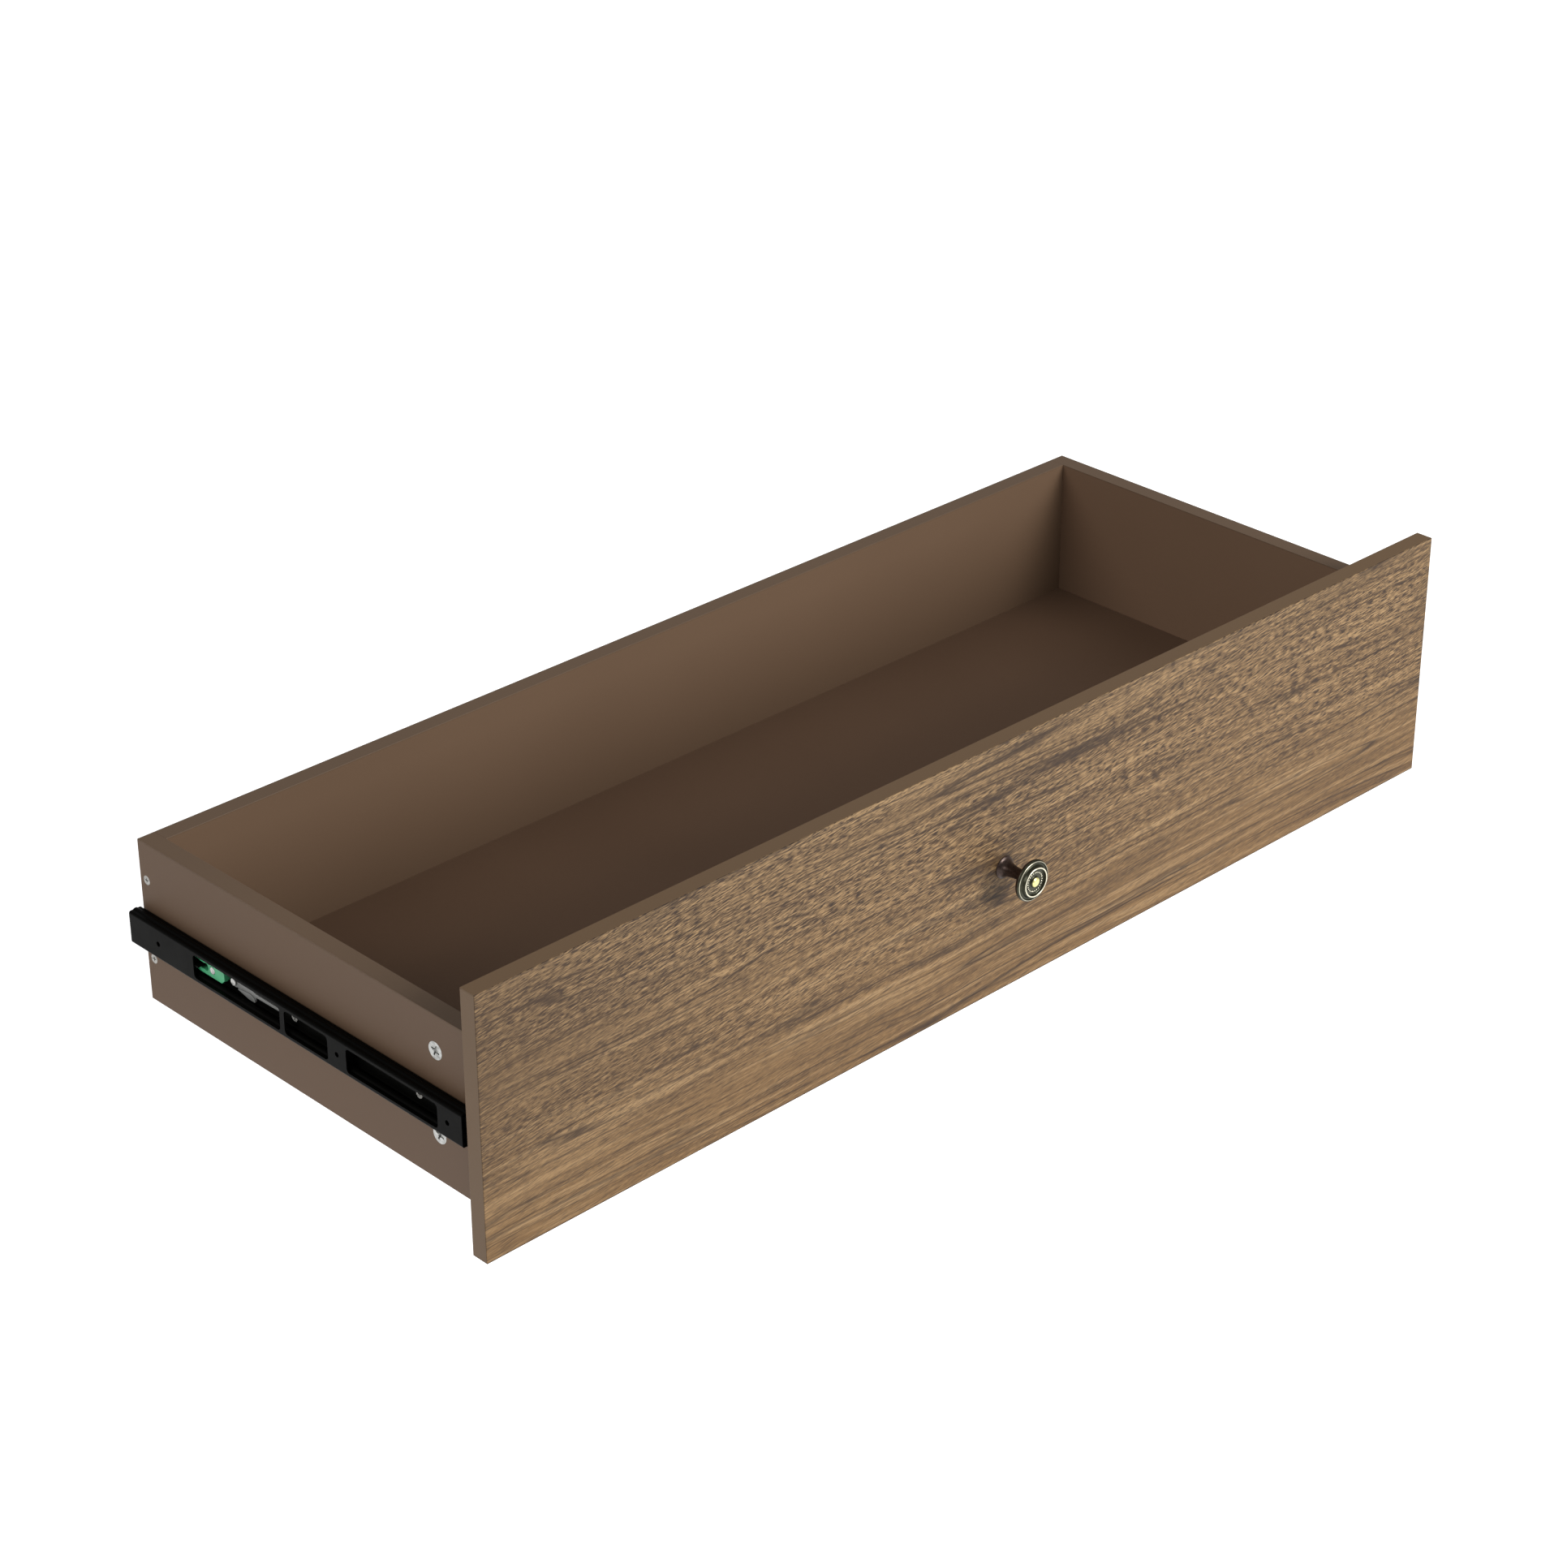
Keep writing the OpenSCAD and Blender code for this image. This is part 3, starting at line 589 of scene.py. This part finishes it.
@dataclass(frozen=True)
class RawBeech:
    """Unfinished beech of the dowels."""

    name: str = "raw_beech"
    pore: Color = tone(186, 150, 104)
    wood: Color = tone(214, 182, 136)
    fleck_wave: Triple = (700.0, 60.0, 700.0)

    def build(self) -> bpy.types.Material:
        """Short flecks along the dowel."""
        bench = Bench(self.name)
        fleck = bench.noise(bench.place(self.fleck_wave))
        color = bench.ramp(fleck, [(0.35, self.pore), (0.62, self.wood)])
        bench.relief(fleck, strength=0.3, depth=0.0001)
        return bench.finish(color, bench.band(fleck, 0.3, 0.7, 0.6, 0.75))


@dataclass(frozen=True)
class AntiqueBronze:
    """Blackened bronze of the knob, rubbed bright on its rim, ring, beads and crown.

    The centre, the disc's radius, and the heights of the well's floor and of the face's start
    are in metres.
    """

    center: Vector
    radius: float
    floor: float
    face: float
    name: str = "antique_bronze"
    olive: Color = tone(30, 31, 20)
    olive_worn: Color = tone(62, 62, 46)
    plum: Color = tone(40, 29, 25)
    plum_worn: Color = tone(72, 57, 50)
    rubbed: Color = tone(206, 200, 178)
    brass: Color = tone(212, 206, 138)
    half_rubbed: Color = (0.8, 0.8, 0.8, 1)
    cloud_pitch: float = 420.0
    metallic: float = 0.7

    def build(self) -> bpy.types.Material:
        """Rubs the high places bright, told by distance from the axis and by height."""
        bench = Bench(self.name)
        local = bench.place(shift=tuple(-value for value in self.center))
        split = bench.node("ShaderNodeSeparateXYZ")
        bench.link(local, split.inputs["Vector"])
        flat = bench.node("ShaderNodeCombineXYZ")
        bench.link(split.outputs["X"], flat.inputs["X"])
        bench.link(split.outputs["Z"], flat.inputs["Z"])
        reach = bench.node("ShaderNodeVectorMath", operation="LENGTH")
        bench.link(flat.outputs["Vector"], reach.inputs[0])
        share = bench.math("DIVIDE", reach.outputs["Value"], self.radius)
        height = bench.math("MULTIPLY", split.outputs["Y"], -1.0)

        cloud = bench.noise(bench.place((self.cloud_pitch,) * 3), detail=4.0, rough=0.65)
        front = bench.ramp(cloud, [(0.30, self.olive), (0.74, self.olive_worn)])
        color = bench.ramp(cloud, [(0.30, self.plum), (0.74, self.plum_worn)])
        # Crown, ring and rim, by share of the disc's radius.
        rings = bench.ramp(share, [
            (0.0, WHITE), (0.20, WHITE), (0.25, BLACK), (0.645, BLACK), (0.665, WHITE),
            (0.700, WHITE), (0.720, BLACK), (0.915, BLACK), (0.927, self.half_rubbed),
            (0.938, self.half_rubbed), (0.950, BLACK),
        ])
        on_face = bench.band(height, self.face, self.face + 0.0006, 0.0, 1.0)
        color = bench.blend(on_face, color, front)
        rubbed = bench.math("MULTIPLY", rings, on_face)
        near_beads = bench.ramp(share, [
            (0.0, BLACK), (0.40, BLACK), (0.42, WHITE), (0.50, WHITE), (0.52, BLACK),
        ])
        beads = bench.math("MULTIPLY", near_beads,
                           bench.band(height, self.floor + 0.00025, self.floor + 0.0005, 0.0, 0.85))
        rubbed = bench.math("MAXIMUM", rubbed, beads)
        rubbed = bench.math("MULTIPLY", rubbed, bench.band(cloud, 0.30, 0.48, 0.70, 1.0))
        metal = bench.blend(bench.band(share, 0.30, 0.36, 1.0, 0.0), self.rubbed, self.brass)
        color = bench.blend(rubbed, color, metal)
        bench.relief(cloud, strength=0.15, depth=0.00006)
        rough = bench.band(rubbed, 0.0, 1.0, 0.32, 0.24)
        return bench.finish(color, rough, self.metallic)


@dataclass(frozen=True)
class Finishes:
    """Every finish of the object, built once."""

    made: dict[str, bpy.types.Material] = field(default_factory=dict)

    def get(self, finish: Finish) -> bpy.types.Material:
        """Hands out the material of a finish, built the first time it is asked for.

        Args:
            finish: The finish.

        Returns:
            Its material.
        """
        if finish.name not in self.made:
            self.made[finish.name] = finish.build()
        return self.made[finish.name]


FOIL_SIDE = BoardFoil("brown_foil", tone(93, 73, 56), tone(88, 69, 53))
# The side boards carry the same brown foil as brown_foil. The left one is a darker copy, painted shade
# on the left side's lit outer face. The right one is a lighter copy, painted light on the right side's
# shaded inner face.
FOIL_LEFT_SHADED = BoardFoil("left_foil_painted_shade", tone(88, 69, 53), tone(84, 65, 50))
FOIL_RIGHT_LIT = BoardFoil("right_foil_painted_light", tone(105, 82, 64), tone(99, 77, 60))
FOIL_EDGE = BoardFoil("edge_foil", tone(95, 75, 54), tone(89, 70, 51), 0.5)
FOIL_RIM = BoardFoil("rim_foil", tone(92, 74, 58), tone(86, 69, 54), 0.5)
FOIL_FLOOR = BoardFoil("floor_foil", tone(92, 71, 55), tone(83, 63, 48), 0.6)
BLACK_STEEL = RolledSteel("black_steel", tone(5, 5, 4), tone(10, 9, 8), 0.36, 0.0, 0.035)
STRIP_STEEL = RolledSteel("strip_steel", tone(150, 152, 154), tone(190, 190, 190), 0.35, 0.9)
ZINC = CastMetal("zinc_plate", tone(168, 166, 161), tone(120, 118, 114), 0.30)
# Plated rivet steel, made lighter than the zinc so that the catch's rivet stands out in the shade of
# its pocket: partly painted light.
RIVET_LIT = CastMetal("rivet_steel", tone(206, 205, 202), tone(150, 149, 147), 0.30)
CAM_ZINC = CastMetal("cam_zinc", tone(190, 190, 187), tone(140, 140, 137), 0.30, 260.0)
BALL_STEEL = CastMetal("ball_steel", tone(226, 226, 228), tone(196, 196, 198), 0.12)
GREEN = Moulded("green_plastic", tone(66, 158, 110), tone(50, 136, 92), 0.42)
GREY = Moulded("grey_plastic", tone(112, 112, 110), tone(94, 94, 92), 0.45)
RUBBER = Moulded("black_rubber", tone(40, 40, 40), tone(28, 28, 28), 0.7)


# ---------------------------------------------------------------------------
# Making and dressing pieces
# ---------------------------------------------------------------------------


@dataclass
class Outline:
    """A line drawn stroke by stroke in a plane, in millimetres."""

    points: list[tuple[float, float]] = field(default_factory=list)

    def to(self, *places: tuple[float, float]) -> "Outline":
        """Draws straight strokes.

        Args:
            *places: Where each stroke ends.

        Returns:
            This outline.
        """
        self.points.extend(places)
        return self

    def arc(
        self, center: tuple[float, float], radius: float, start: float, end: float, steps: int = 8
    ) -> "Outline":
        """Draws an arc.

        Args:
            center: Its centre.
            radius: Its radius.
            start: Angle it starts at, in degrees.
            end: Angle it ends at, in degrees.
            steps: Number of straight pieces in it.

        Returns:
            This outline.
        """
        for step in range(steps + 1):
            angle = math.radians(start + (end - start) * step / steps)
            self.points.append((center[0] + radius * math.cos(angle),
                                center[1] + radius * math.sin(angle)))
        return self

    def curve(self, pull: tuple[float, float], end: tuple[float, float], steps: int = 10) -> "Outline":
        """Draws a bend from the last point.

        Args:
            pull: Point that the bend leans towards.
            end: Where it ends.
            steps: Number of straight pieces in it.

        Returns:
            This outline.
        """
        first = self.points[-1]
        for step in range(1, steps + 1):
            t = step / steps
            self.points.append(tuple(
                (1 - t) ** 2 * a + 2 * t * (1 - t) * b + t * t * c
                for a, b, c in zip(first, pull, end)
            ))
        return self

    def turned(self, steps: int = 96) -> bmesh.types.BMesh:
        """Turns the outline, radius against height, round the -Y axis.

        Args:
            steps: Number of steps in the full turn.

        Returns:
            The closed shape, in metres.
        """
        shape = bmesh.new()
        verts = [shape.verts.new((radius * MM, -height * MM, 0)) for radius, height in self.points]
        edges = [shape.edges.new(pair) for pair in zip(verts, verts[1:])]
        bmesh.ops.spin(shape, geom=verts + edges, cent=(0, 0, 0), axis=(0, 1, 0), dvec=(0, 0, 0),
                       angle=math.tau, steps=steps, use_merge=True, use_duplicate=False)
        bmesh.ops.remove_doubles(shape, verts=shape.verts, dist=SAME_PLACE)
        bmesh.ops.recalc_face_normals(shape, faces=shape.faces)
        return shape

    def raised(self, low: float, high: float) -> bmesh.types.BMesh:
        """Raises the closed outline, drawn in Y and Z, from low to high along X.

        Args:
            low: X of the flat underside, in millimetres.
            high: X of the top.

        Returns:
            The closed shape, in metres.
        """
        shape = bmesh.new()
        verts = [shape.verts.new((low * MM, y * MM, z * MM)) for y, z in self.points]
        face = shape.faces.new(verts)
        grown = bmesh.ops.extrude_face_region(shape, geom=[face])
        tops = [item for item in grown["geom"] if isinstance(item, bmesh.types.BMVert)]
        bmesh.ops.translate(shape, verts=tops, vec=((high - low) * MM, 0, 0))
        bmesh.ops.recalc_face_normals(shape, faces=shape.faces)
        return shape


def ease(shape: bmesh.types.BMesh, width: float, angle: float = 30.0) -> None:
    """Rounds every edge of a shape that is sharper than an angle, in two facets.

    Args:
        shape: Shape to work on.
        width: Width of the rounding, in millimetres.
        angle: Smallest angle between faces that is rounded, in degrees.
    """
    sharp = [edge for edge in shape.edges
             if edge.is_manifold and edge.calc_face_angle(0.0) > math.radians(angle)]
    bmesh.ops.bevel(shape, geom=sharp, offset=width * MM, offset_type="OFFSET", segments=2,
                    profile=0.5, affect="EDGES", clamp_overlap=True, material=-1)


def joined(shapes: list[bmesh.types.BMesh]) -> bmesh.types.BMesh:
    """Puts several closed shapes into one.

    Args:
        shapes: Shapes to put together; they are freed.

    Returns:
        The one shape.
    """
    whole = bmesh.new()
    for shape in shapes:
        part = bpy.data.meshes.new("part")
        shape.to_mesh(part)
        shape.free()
        whole.from_mesh(part)
        bpy.data.meshes.remove(part)
    return whole


@dataclass
class Workshop:
    """What every sub-assembly needs: the frame and the finishes."""

    frame: dict
    finishes: Finishes
    ease_angle: float = 50

    def dress(self, node: str, finish: Finish, edge: float = 0.0) -> None:
        """Gives a frame node its finish, and eases its sharp edges.

        Args:
            node: Name of the node.
            finish: Finish to give it.
            edge: Width of the eased edge in millimetres; none if 0.
        """
        piece = self.frame["nodes"][node]
        piece.data.materials.clear()
        piece.data.materials.append(self.finishes.get(finish))
        if edge > 0:
            weld = piece.modifiers.new("weld", "WELD")
            weld.merge_threshold = SAME_PLACE
            bevel = piece.modifiers.new("ease", "BEVEL")
            bevel.width = edge * MM
            bevel.segments = 2
            bevel.limit_method = "ANGLE"
            bevel.angle_limit = math.radians(self.ease_angle)
        LOG.info("dressed %s", node)

    def stand_in(
        self, shape: bmesh.types.BMesh, node: str, finish: Finish, sharp: float = 35.0
    ) -> None:
        """Sets a finer piece in the place of a frame node.

        Args:
            shape: The finer shape, in its place; it is freed.
            node: Node that it stands for.
            finish: Its finish.
            sharp: Angle above which an edge stays crisp, in degrees.
        """
        old = self.frame["nodes"][node]
        bmesh.ops.recalc_face_normals(shape, faces=shape.faces)
        for face in shape.faces:
            face.smooth = True
        for edge in shape.edges:
            edge.smooth = edge.calc_face_angle(0.0) < math.radians(sharp)
        mesh = bpy.data.meshes.new(f"{node}_fine")
        shape.to_mesh(mesh)
        shape.free()
        mesh.materials.append(self.finishes.get(finish))
        piece = bpy.data.objects.new(f"{node}_fine", mesh)
        bpy.context.scene.collection.objects.link(piece)
        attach(piece, old["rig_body"])
        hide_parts(node)
        LOG.info("made %s, %d faces", piece.name, len(mesh.polygons))


@dataclass
class DrawerFront:
    """The front board with its face sheet and edge strips."""

    shop: Workshop
    edge: float = 0.2

    def build(self) -> None:
        """Dresses the front's boards."""
        self.shop.dress("front_face_sheet", OakFace(), self.edge)
        self.shop.dress("front_panel", FOIL_SIDE)
        for place in ("top", "bottom", "left", "right"):
            self.shop.dress(f"front_{place}_band", FOIL_EDGE, self.edge)


@dataclass
class DrawerBox:
    """Sides, back and bottom sheet."""

    shop: Workshop
    edge: float = 0.25

    def build(self) -> None:
        """Dresses the boards of the box."""
        # The side boards get lit and shaded copies of the brown foil: painted shade on the left,
        # painted light on the right.
        boards = {"left_side": FOIL_LEFT_SHADED, "right_side": FOIL_RIGHT_LIT, "back": FOIL_SIDE}
        for place, foil in boards.items():
            self.shop.dress(f"{place}_panel", foil, self.edge)
        self.shop.dress("bottom_panel", FOIL_FLOOR)
        for place in ("left", "right", "back"):
            self.shop.dress(f"{place}_top_band", FOIL_RIM, self.edge)


@dataclass
class Fastenings:
    """Cam locks, bolts, dowels and screws that hold the boards together."""

    shop: Workshop

    def build(self) -> None:
        """Dresses the fastenings."""
        for side in Side:
            for level in ("upper", "lower"):
                self.shop.dress(f"{side.value}_{level}_cam", CAM_ZINC, 0.2)
        for node in ("cam_bolts", "back_screws", "knob_screw"):
            self.shop.dress(node, ZINC)
        self.shop.dress("dowels", RawBeech())


@dataclass
class Lever:
    """Release lever, drawn round its rivet, in millimetres.

    Its tail points towards the drawer front. The shoulder, which meets the stop tab, is the
    lobe's far end, and rakes back by the rake times its depth.
    """

    eye: float = 5.2
    thick: float = 2.6
    plate: float = 1.9
    lobe_base: float = 0.2
    rounding: float = 0.3
    shoulder: float = 27.0
    hub_low: float = 8.4
    tail_top: float = -0.4
    tail_low: float = -3.6
    rake: float = 0.14

    def shape(self, reach: float) -> bmesh.types.BMesh:
        """Models the lever: a thin plate with a tail, and a thicker lobe down to the shoulder.

        Args:
            reach: Distance from the rivet to the tip of the tail.

        Returns:
            The lever, with its thickness along X and its rivet's axis at 0.
        """
        low = -self.hub_low
        far = -self.shoulder
        heel = far + self.hub_low * self.rake
        root = far - self.tail_low * self.rake
        tip = -reach

        plate = Outline().arc((0, 0), self.eye, -120, 120, 20)
        plate.to((far, self.tail_top), (tip + 1, self.tail_top), (tip, self.tail_top - 1))
        plate.to((tip, self.tail_low + 1.6), (tip + 1, self.tail_low + 0.6), (root, self.tail_low))
        plate.to((heel + 0.4, low + 2.0), (heel + 1.2, low + 0.7), (0.68 * far, low + 0.4))
        thin = plate.raised(0, self.plate)
        ease(thin, self.rounding)

        lobe = Outline().to((0.13 * far, low + 3.2))
        lobe.curve((0.40 * far, low + 5.6), (0.78 * far, low + 5.4), 8)
        lobe.to((heel + 1.6, low + 4.0), (heel + 0.5, low + 2.2), (heel, low + 1.0))
        lobe.to((heel + 1.0, low), (0.66 * far, low))
        stout = lobe.raised(self.lobe_base, self.thick)
        ease(stout, self.rounding)
        return joined([thin, stout])


@dataclass
class Slide:
    """One ball bearing slide: two rails, balls, catch, lever and their fixings."""

    shop: Workshop
    side: Side

    def seat(self, shape: bmesh.types.BMesh, web_x: float, y: float) -> None:
        """Puts a small part, drawn on the web, on this side's drawer rail.

        Args:
            shape: The part: height along X, length along Y, up along Z.
            web_x: X that its base lies at.
            y: Place of its own origin along the rail.
        """
        out = self.side.out
        place = Matrix.Translation((web_x, y, 0)) @ Matrix.Diagonal((out, 1, -out, 1))
        bmesh.ops.transform(shape, matrix=place, verts=shape.verts)

    def base_x(self, node: str) -> float:
        """Finds the face of a node that lies towards the drawer.

        Args:
            node: Name of the node.

        Returns:
            X of that face.
        """
        low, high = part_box(node)
        return high.x if self.side is Side.LEFT else low.x

    def lever(self) -> None:
        """Makes the release lever."""
        node = f"{self.side.value}_release_lever"
        low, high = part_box(node)
        lever = Lever()
        pivot_y = high.y - lever.eye * MM
        shape = lever.shape((pivot_y - low.y) / MM)
        self.seat(shape, self.base_x(node), pivot_y)
        self.shop.stand_in(shape, node, GREY)

    def build(self) -> None:
        """Dresses the parts of the slide, and models its lever."""
        name = self.side.value
        for node in ("drawer_rail", "cabinet_rail"):
            self.shop.dress(f"{name}_{node}", BLACK_STEEL)
        for node in ("upper_ball_strip", "lower_ball_strip"):
            self.shop.dress(f"{name}_{node}", STRIP_STEEL)
        self.shop.dress(f"{name}_balls", BALL_STEEL)
        self.shop.dress(f"{name}_rail_screws", ZINC)
        # The rivets' finish is lightened against the shade of the catch's pocket: painted light.
        for node in ("catch_rivet", "lever_rivet"):
            self.shop.dress(f"{name}_{node}", RIVET_LIT, 0.15)
        self.shop.dress(f"{name}_rail_bumper", RUBBER, 0.3)
        self.shop.dress(f"{name}_catch", GREEN, 0.35)
        self.lever()


@dataclass
class Knob:
    """Turned knob with a stepped, beaded face, in millimetres.

    The ring, the circle of beads and the dome are placed by their share of the disc's radius,
    the waist's two ends and the flare by their share of the knob's height.
    """

    shop: Workshop
    foot: float = 9.8
    neck: float = 4.8
    edge: float = 2.2
    crown: float = 4.0
    well: float = 2.9
    ring: float = 0.68
    bead_ring: float = 0.46
    dome: float = 0.26
    waist_start: float = 0.42
    waist_end: float = 0.60
    flare: float = 0.66
    foot_round: float = 0.5
    rim_round: float = 0.55
    ring_round: float = 0.95
    step: float = 0.3
    face_drop: float = 2
    bead: float = 0.78
    bead_count: int = 24

    def outline(self, radius: float, out: float) -> Outline:
        """Draws the knob's half outline, radius against height off the drawer front.

        Args:
            radius: Radius of the disc.
            out: Height of the crown.

        Returns:
            The outline, from the foot's middle to the crown.
        """
        rim = out - self.crown - self.edge
        side = radius - self.edge
        ring = self.ring * radius
        floor = out - self.well
        dome = self.dome * radius
        line = Outline().to((0, 0), (self.foot - 0.4, 0))
        # Foot and waist.
        line.arc((self.foot - self.foot_round, self.foot_round), self.foot_round, -60, 60, 5)
        line.to((self.foot - 0.6, 1.3))
        line.curve((self.neck + 0.7, 3.2), (self.neck, self.waist_start * out), 14)
        line.curve((self.neck, self.waist_end * out), (self.neck + 1.6, self.flare * out), 6)
        # Underside of the disc, its edge, and the bead round its rim.
        line.curve((self.neck + 4.2, rim - self.edge - 0.4), (side - 1.2, rim - self.edge), 10)
        line.arc((side, rim), self.edge, -80, 50, 12)
        line.arc((side + 0.75, rim + self.edge * 0.86), self.rim_round, 20, 165, 7)
        # Hollow down to the ring, the ring, and the well that holds the beads.
        line.to((side - 0.35, rim + self.edge * 0.72))
        line.curve((side - 1.8, rim + self.edge * 0.70), (ring + 1.3, floor + 0.1), 12)
        line.arc((ring, out - 1.75), self.ring_round, 10, 170, 9)
        line.to((ring - 1.05, floor + 0.25), (ring - 1.4, floor), (dome + 0.35, floor))
        # Dome in the middle.
        spring = floor + self.step
        rise = out - spring
        line.to((dome, spring))
        for turn in range(10, 90, 10):
            angle = math.radians(turn)
            line.to((dome * math.cos(angle), spring + rise * math.sin(angle)))
        return line.to((0, out))

    def beads(self, radius: float, height: float) -> list[bmesh.types.BMesh]:
        """Models the ring of beads.

        Args:
            radius: Radius of the ring.
            height: Height of the beads' middles.

        Returns:
            One small ball for each bead.
        """
        made = []
        for index in range(self.bead_count):
            angle = math.tau * index / self.bead_count
            ball = bmesh.new()
            bmesh.ops.create_icosphere(ball, subdivisions=2, radius=self.bead * MM)
            bmesh.ops.translate(ball, verts=ball.verts, vec=(
                radius * math.cos(angle) * MM, -height * MM, radius * math.sin(angle) * MM))
            made.append(ball)
        return made

    def build(self) -> None:
        """Models and dresses the knob."""
        low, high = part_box("knob")
        center = Vector(((low.x + high.x) / 2, high.y, (low.z + high.z) / 2))
        radius = (high.x - low.x) / 2 / MM
        out = (high.y - low.y) / MM
        shape = joined([self.outline(radius, out).turned(),
                        *self.beads(self.bead_ring * radius, out - self.well)])
        bmesh.ops.translate(shape, verts=shape.verts, vec=center)
        floor = out - self.well
        face = out - self.crown - self.face_drop
        finish = AntiqueBronze(center, radius * MM, floor * MM, face * MM)
        self.shop.stand_in(shape, "knob", finish)


# ---------------------------------------------------------------------------
# Stage
# ---------------------------------------------------------------------------


@dataclass
class Studio:
    """Pale floor, soft light and the camera.

    Lengths are in metres, angles in degrees, the lens and the sensor in millimetres.
    """

    azimuth: float = 44.09
    elevation: float = 28.31
    roll: float = -0.18
    distance: float = 3.134
    target: Vector = field(default_factory=lambda: Vector((-0.0165, 0.2211, -0.0005)))
    lens: float = 85.58
    sensor_width: float = 36.0
    view_end: float = 50.0
    floor_drop: float = 0.60
    floor_size: float = 14.0
    floor_glow: float = 0.42
    sky_strength: float = 0.36
    key_from: Vector = field(default_factory=lambda: Vector((0.9, -3.0, 1.35)))
    key_size: float = 1.4
    key_power: float = 140.0
    left_sun: Vector = field(default_factory=lambda: Vector((-1.0, 0.12, 0.55)))
    left_strength: float = 1.45
    front_sun: Vector = field(default_factory=lambda: Vector((0.45, -1.0, 0.62)))
    front_strength: float = 1.2
    sun_width: float = 34.0

    def camera(self) -> None:
        """Puts the camera up, in front and to the left, looking down into the drawer."""
        data = bpy.data.cameras.new("camera")
        data.lens = self.lens
        data.sensor_width = self.sensor_width
        data.sensor_fit = "HORIZONTAL"
        data.clip_end = self.view_end
        camera = bpy.data.objects.new("camera", data)
        bpy.context.scene.collection.objects.link(camera)
        turn = (
            Matrix.Rotation(math.radians(-self.azimuth), 4, "Z")
            @ Matrix.Rotation(math.radians(90 - self.elevation), 4, "X")
            @ Matrix.Rotation(math.radians(self.roll), 4, "Z")
        )
        look = turn.to_3x3() @ Vector((0, 0, -1))
        camera.matrix_world = Matrix.Translation(self.target - look * self.distance) @ turn
        bpy.context.scene.camera = camera

    def floor(self, under: float) -> None:
        """Lays a pale, faintly glowing floor well below the object.

        Args:
            under: Height of the object's lowest point.
        """
        mesh = bpy.data.meshes.new("floor")
        shape = bmesh.new()
        bmesh.ops.create_grid(shape, x_segments=1, y_segments=1, size=self.floor_size)
        bmesh.ops.translate(shape, verts=shape.verts, vec=(0, 0, under - self.floor_drop))
        shape.to_mesh(mesh)
        shape.free()
        floor = bpy.data.objects.new("floor", mesh)
        bpy.context.scene.collection.objects.link(floor)
        bench = Bench("pale_floor")
        cloud = bench.noise(bench.place((0.8, 0.8, 0.8)), detail=2.0)
        color = bench.ramp(cloud, [(0.3, (0.88, 0.88, 0.88, 1)), (0.7, (0.92, 0.92, 0.92, 1))])
        bench.shader.inputs["Emission Color"].default_value = WHITE
        bench.shader.inputs["Emission Strength"].default_value = self.floor_glow
        mesh.materials.append(bench.finish(color, 0.9))
        floor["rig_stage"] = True

    def panel(self, name: str, where: Vector, size: float, power: float) -> None:
        """Hangs one soft light panel that faces the object.

        Args:
            name: Name of the light.
            where: Its place.
            size: Length of its sides.
            power: Its power in watts.
        """
        data = bpy.data.lights.new(name, "AREA")
        data.energy = power
        data.size = size
        lamp = bpy.data.objects.new(name, data)
        bpy.context.scene.collection.objects.link(lamp)
        lamp.location = where
        lamp.rotation_euler = (self.target - where).to_track_quat("-Z", "Y").to_euler()

    def sun(self, name: str, toward: Vector, strength: float) -> None:
        """Adds one broad, far light.

        Args:
            name: Name of the light.
            toward: Direction from the object to the light.
            strength: Its strength.
        """
        data = bpy.data.lights.new(name, "SUN")
        data.energy = strength
        data.angle = math.radians(self.sun_width)
        lamp = bpy.data.objects.new(name, data)
        bpy.context.scene.collection.objects.link(lamp)
        lamp.rotation_euler = toward.to_track_quat("Z", "Y").to_euler()

    def lights(self) -> None:
        """Soft studio light: an even sky, a low key from the right and two broad far lights."""
        world = bpy.data.worlds.new("sky")
        world.use_nodes = True
        sky = world.node_tree.nodes["Background"]
        sky.inputs["Color"].default_value = WHITE
        sky.inputs["Strength"].default_value = self.sky_strength
        bpy.context.scene.world = world
        self.panel("key", self.key_from, self.key_size, self.key_power)
        self.sun("left_light", self.left_sun, self.left_strength)
        self.sun("front_light", self.front_sun, self.front_strength)

    def build(self, under: float) -> None:
        """Sets the whole stage.

        Args:
            under: Height of the object's lowest point.
        """
        self.camera()
        self.floor(under)
        self.lights()
        bpy.context.scene.view_settings.view_transform = "Standard"


def main() -> None:
    """Builds the drawer's looks around the frame."""
    logging.basicConfig(level=logging.INFO, format="%(name)s: %(message)s")
    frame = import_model()
    cad_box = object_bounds()
    shop = Workshop(frame, Finishes())
    Studio().build(cad_box[0][2])
    DrawerFront(shop).build()
    DrawerBox(shop).build()
    Fastenings(shop).build()
    for side in Side:
        Slide(shop, side).build()
    Knob(shop).build()


if __name__ == "__main__":
    main()
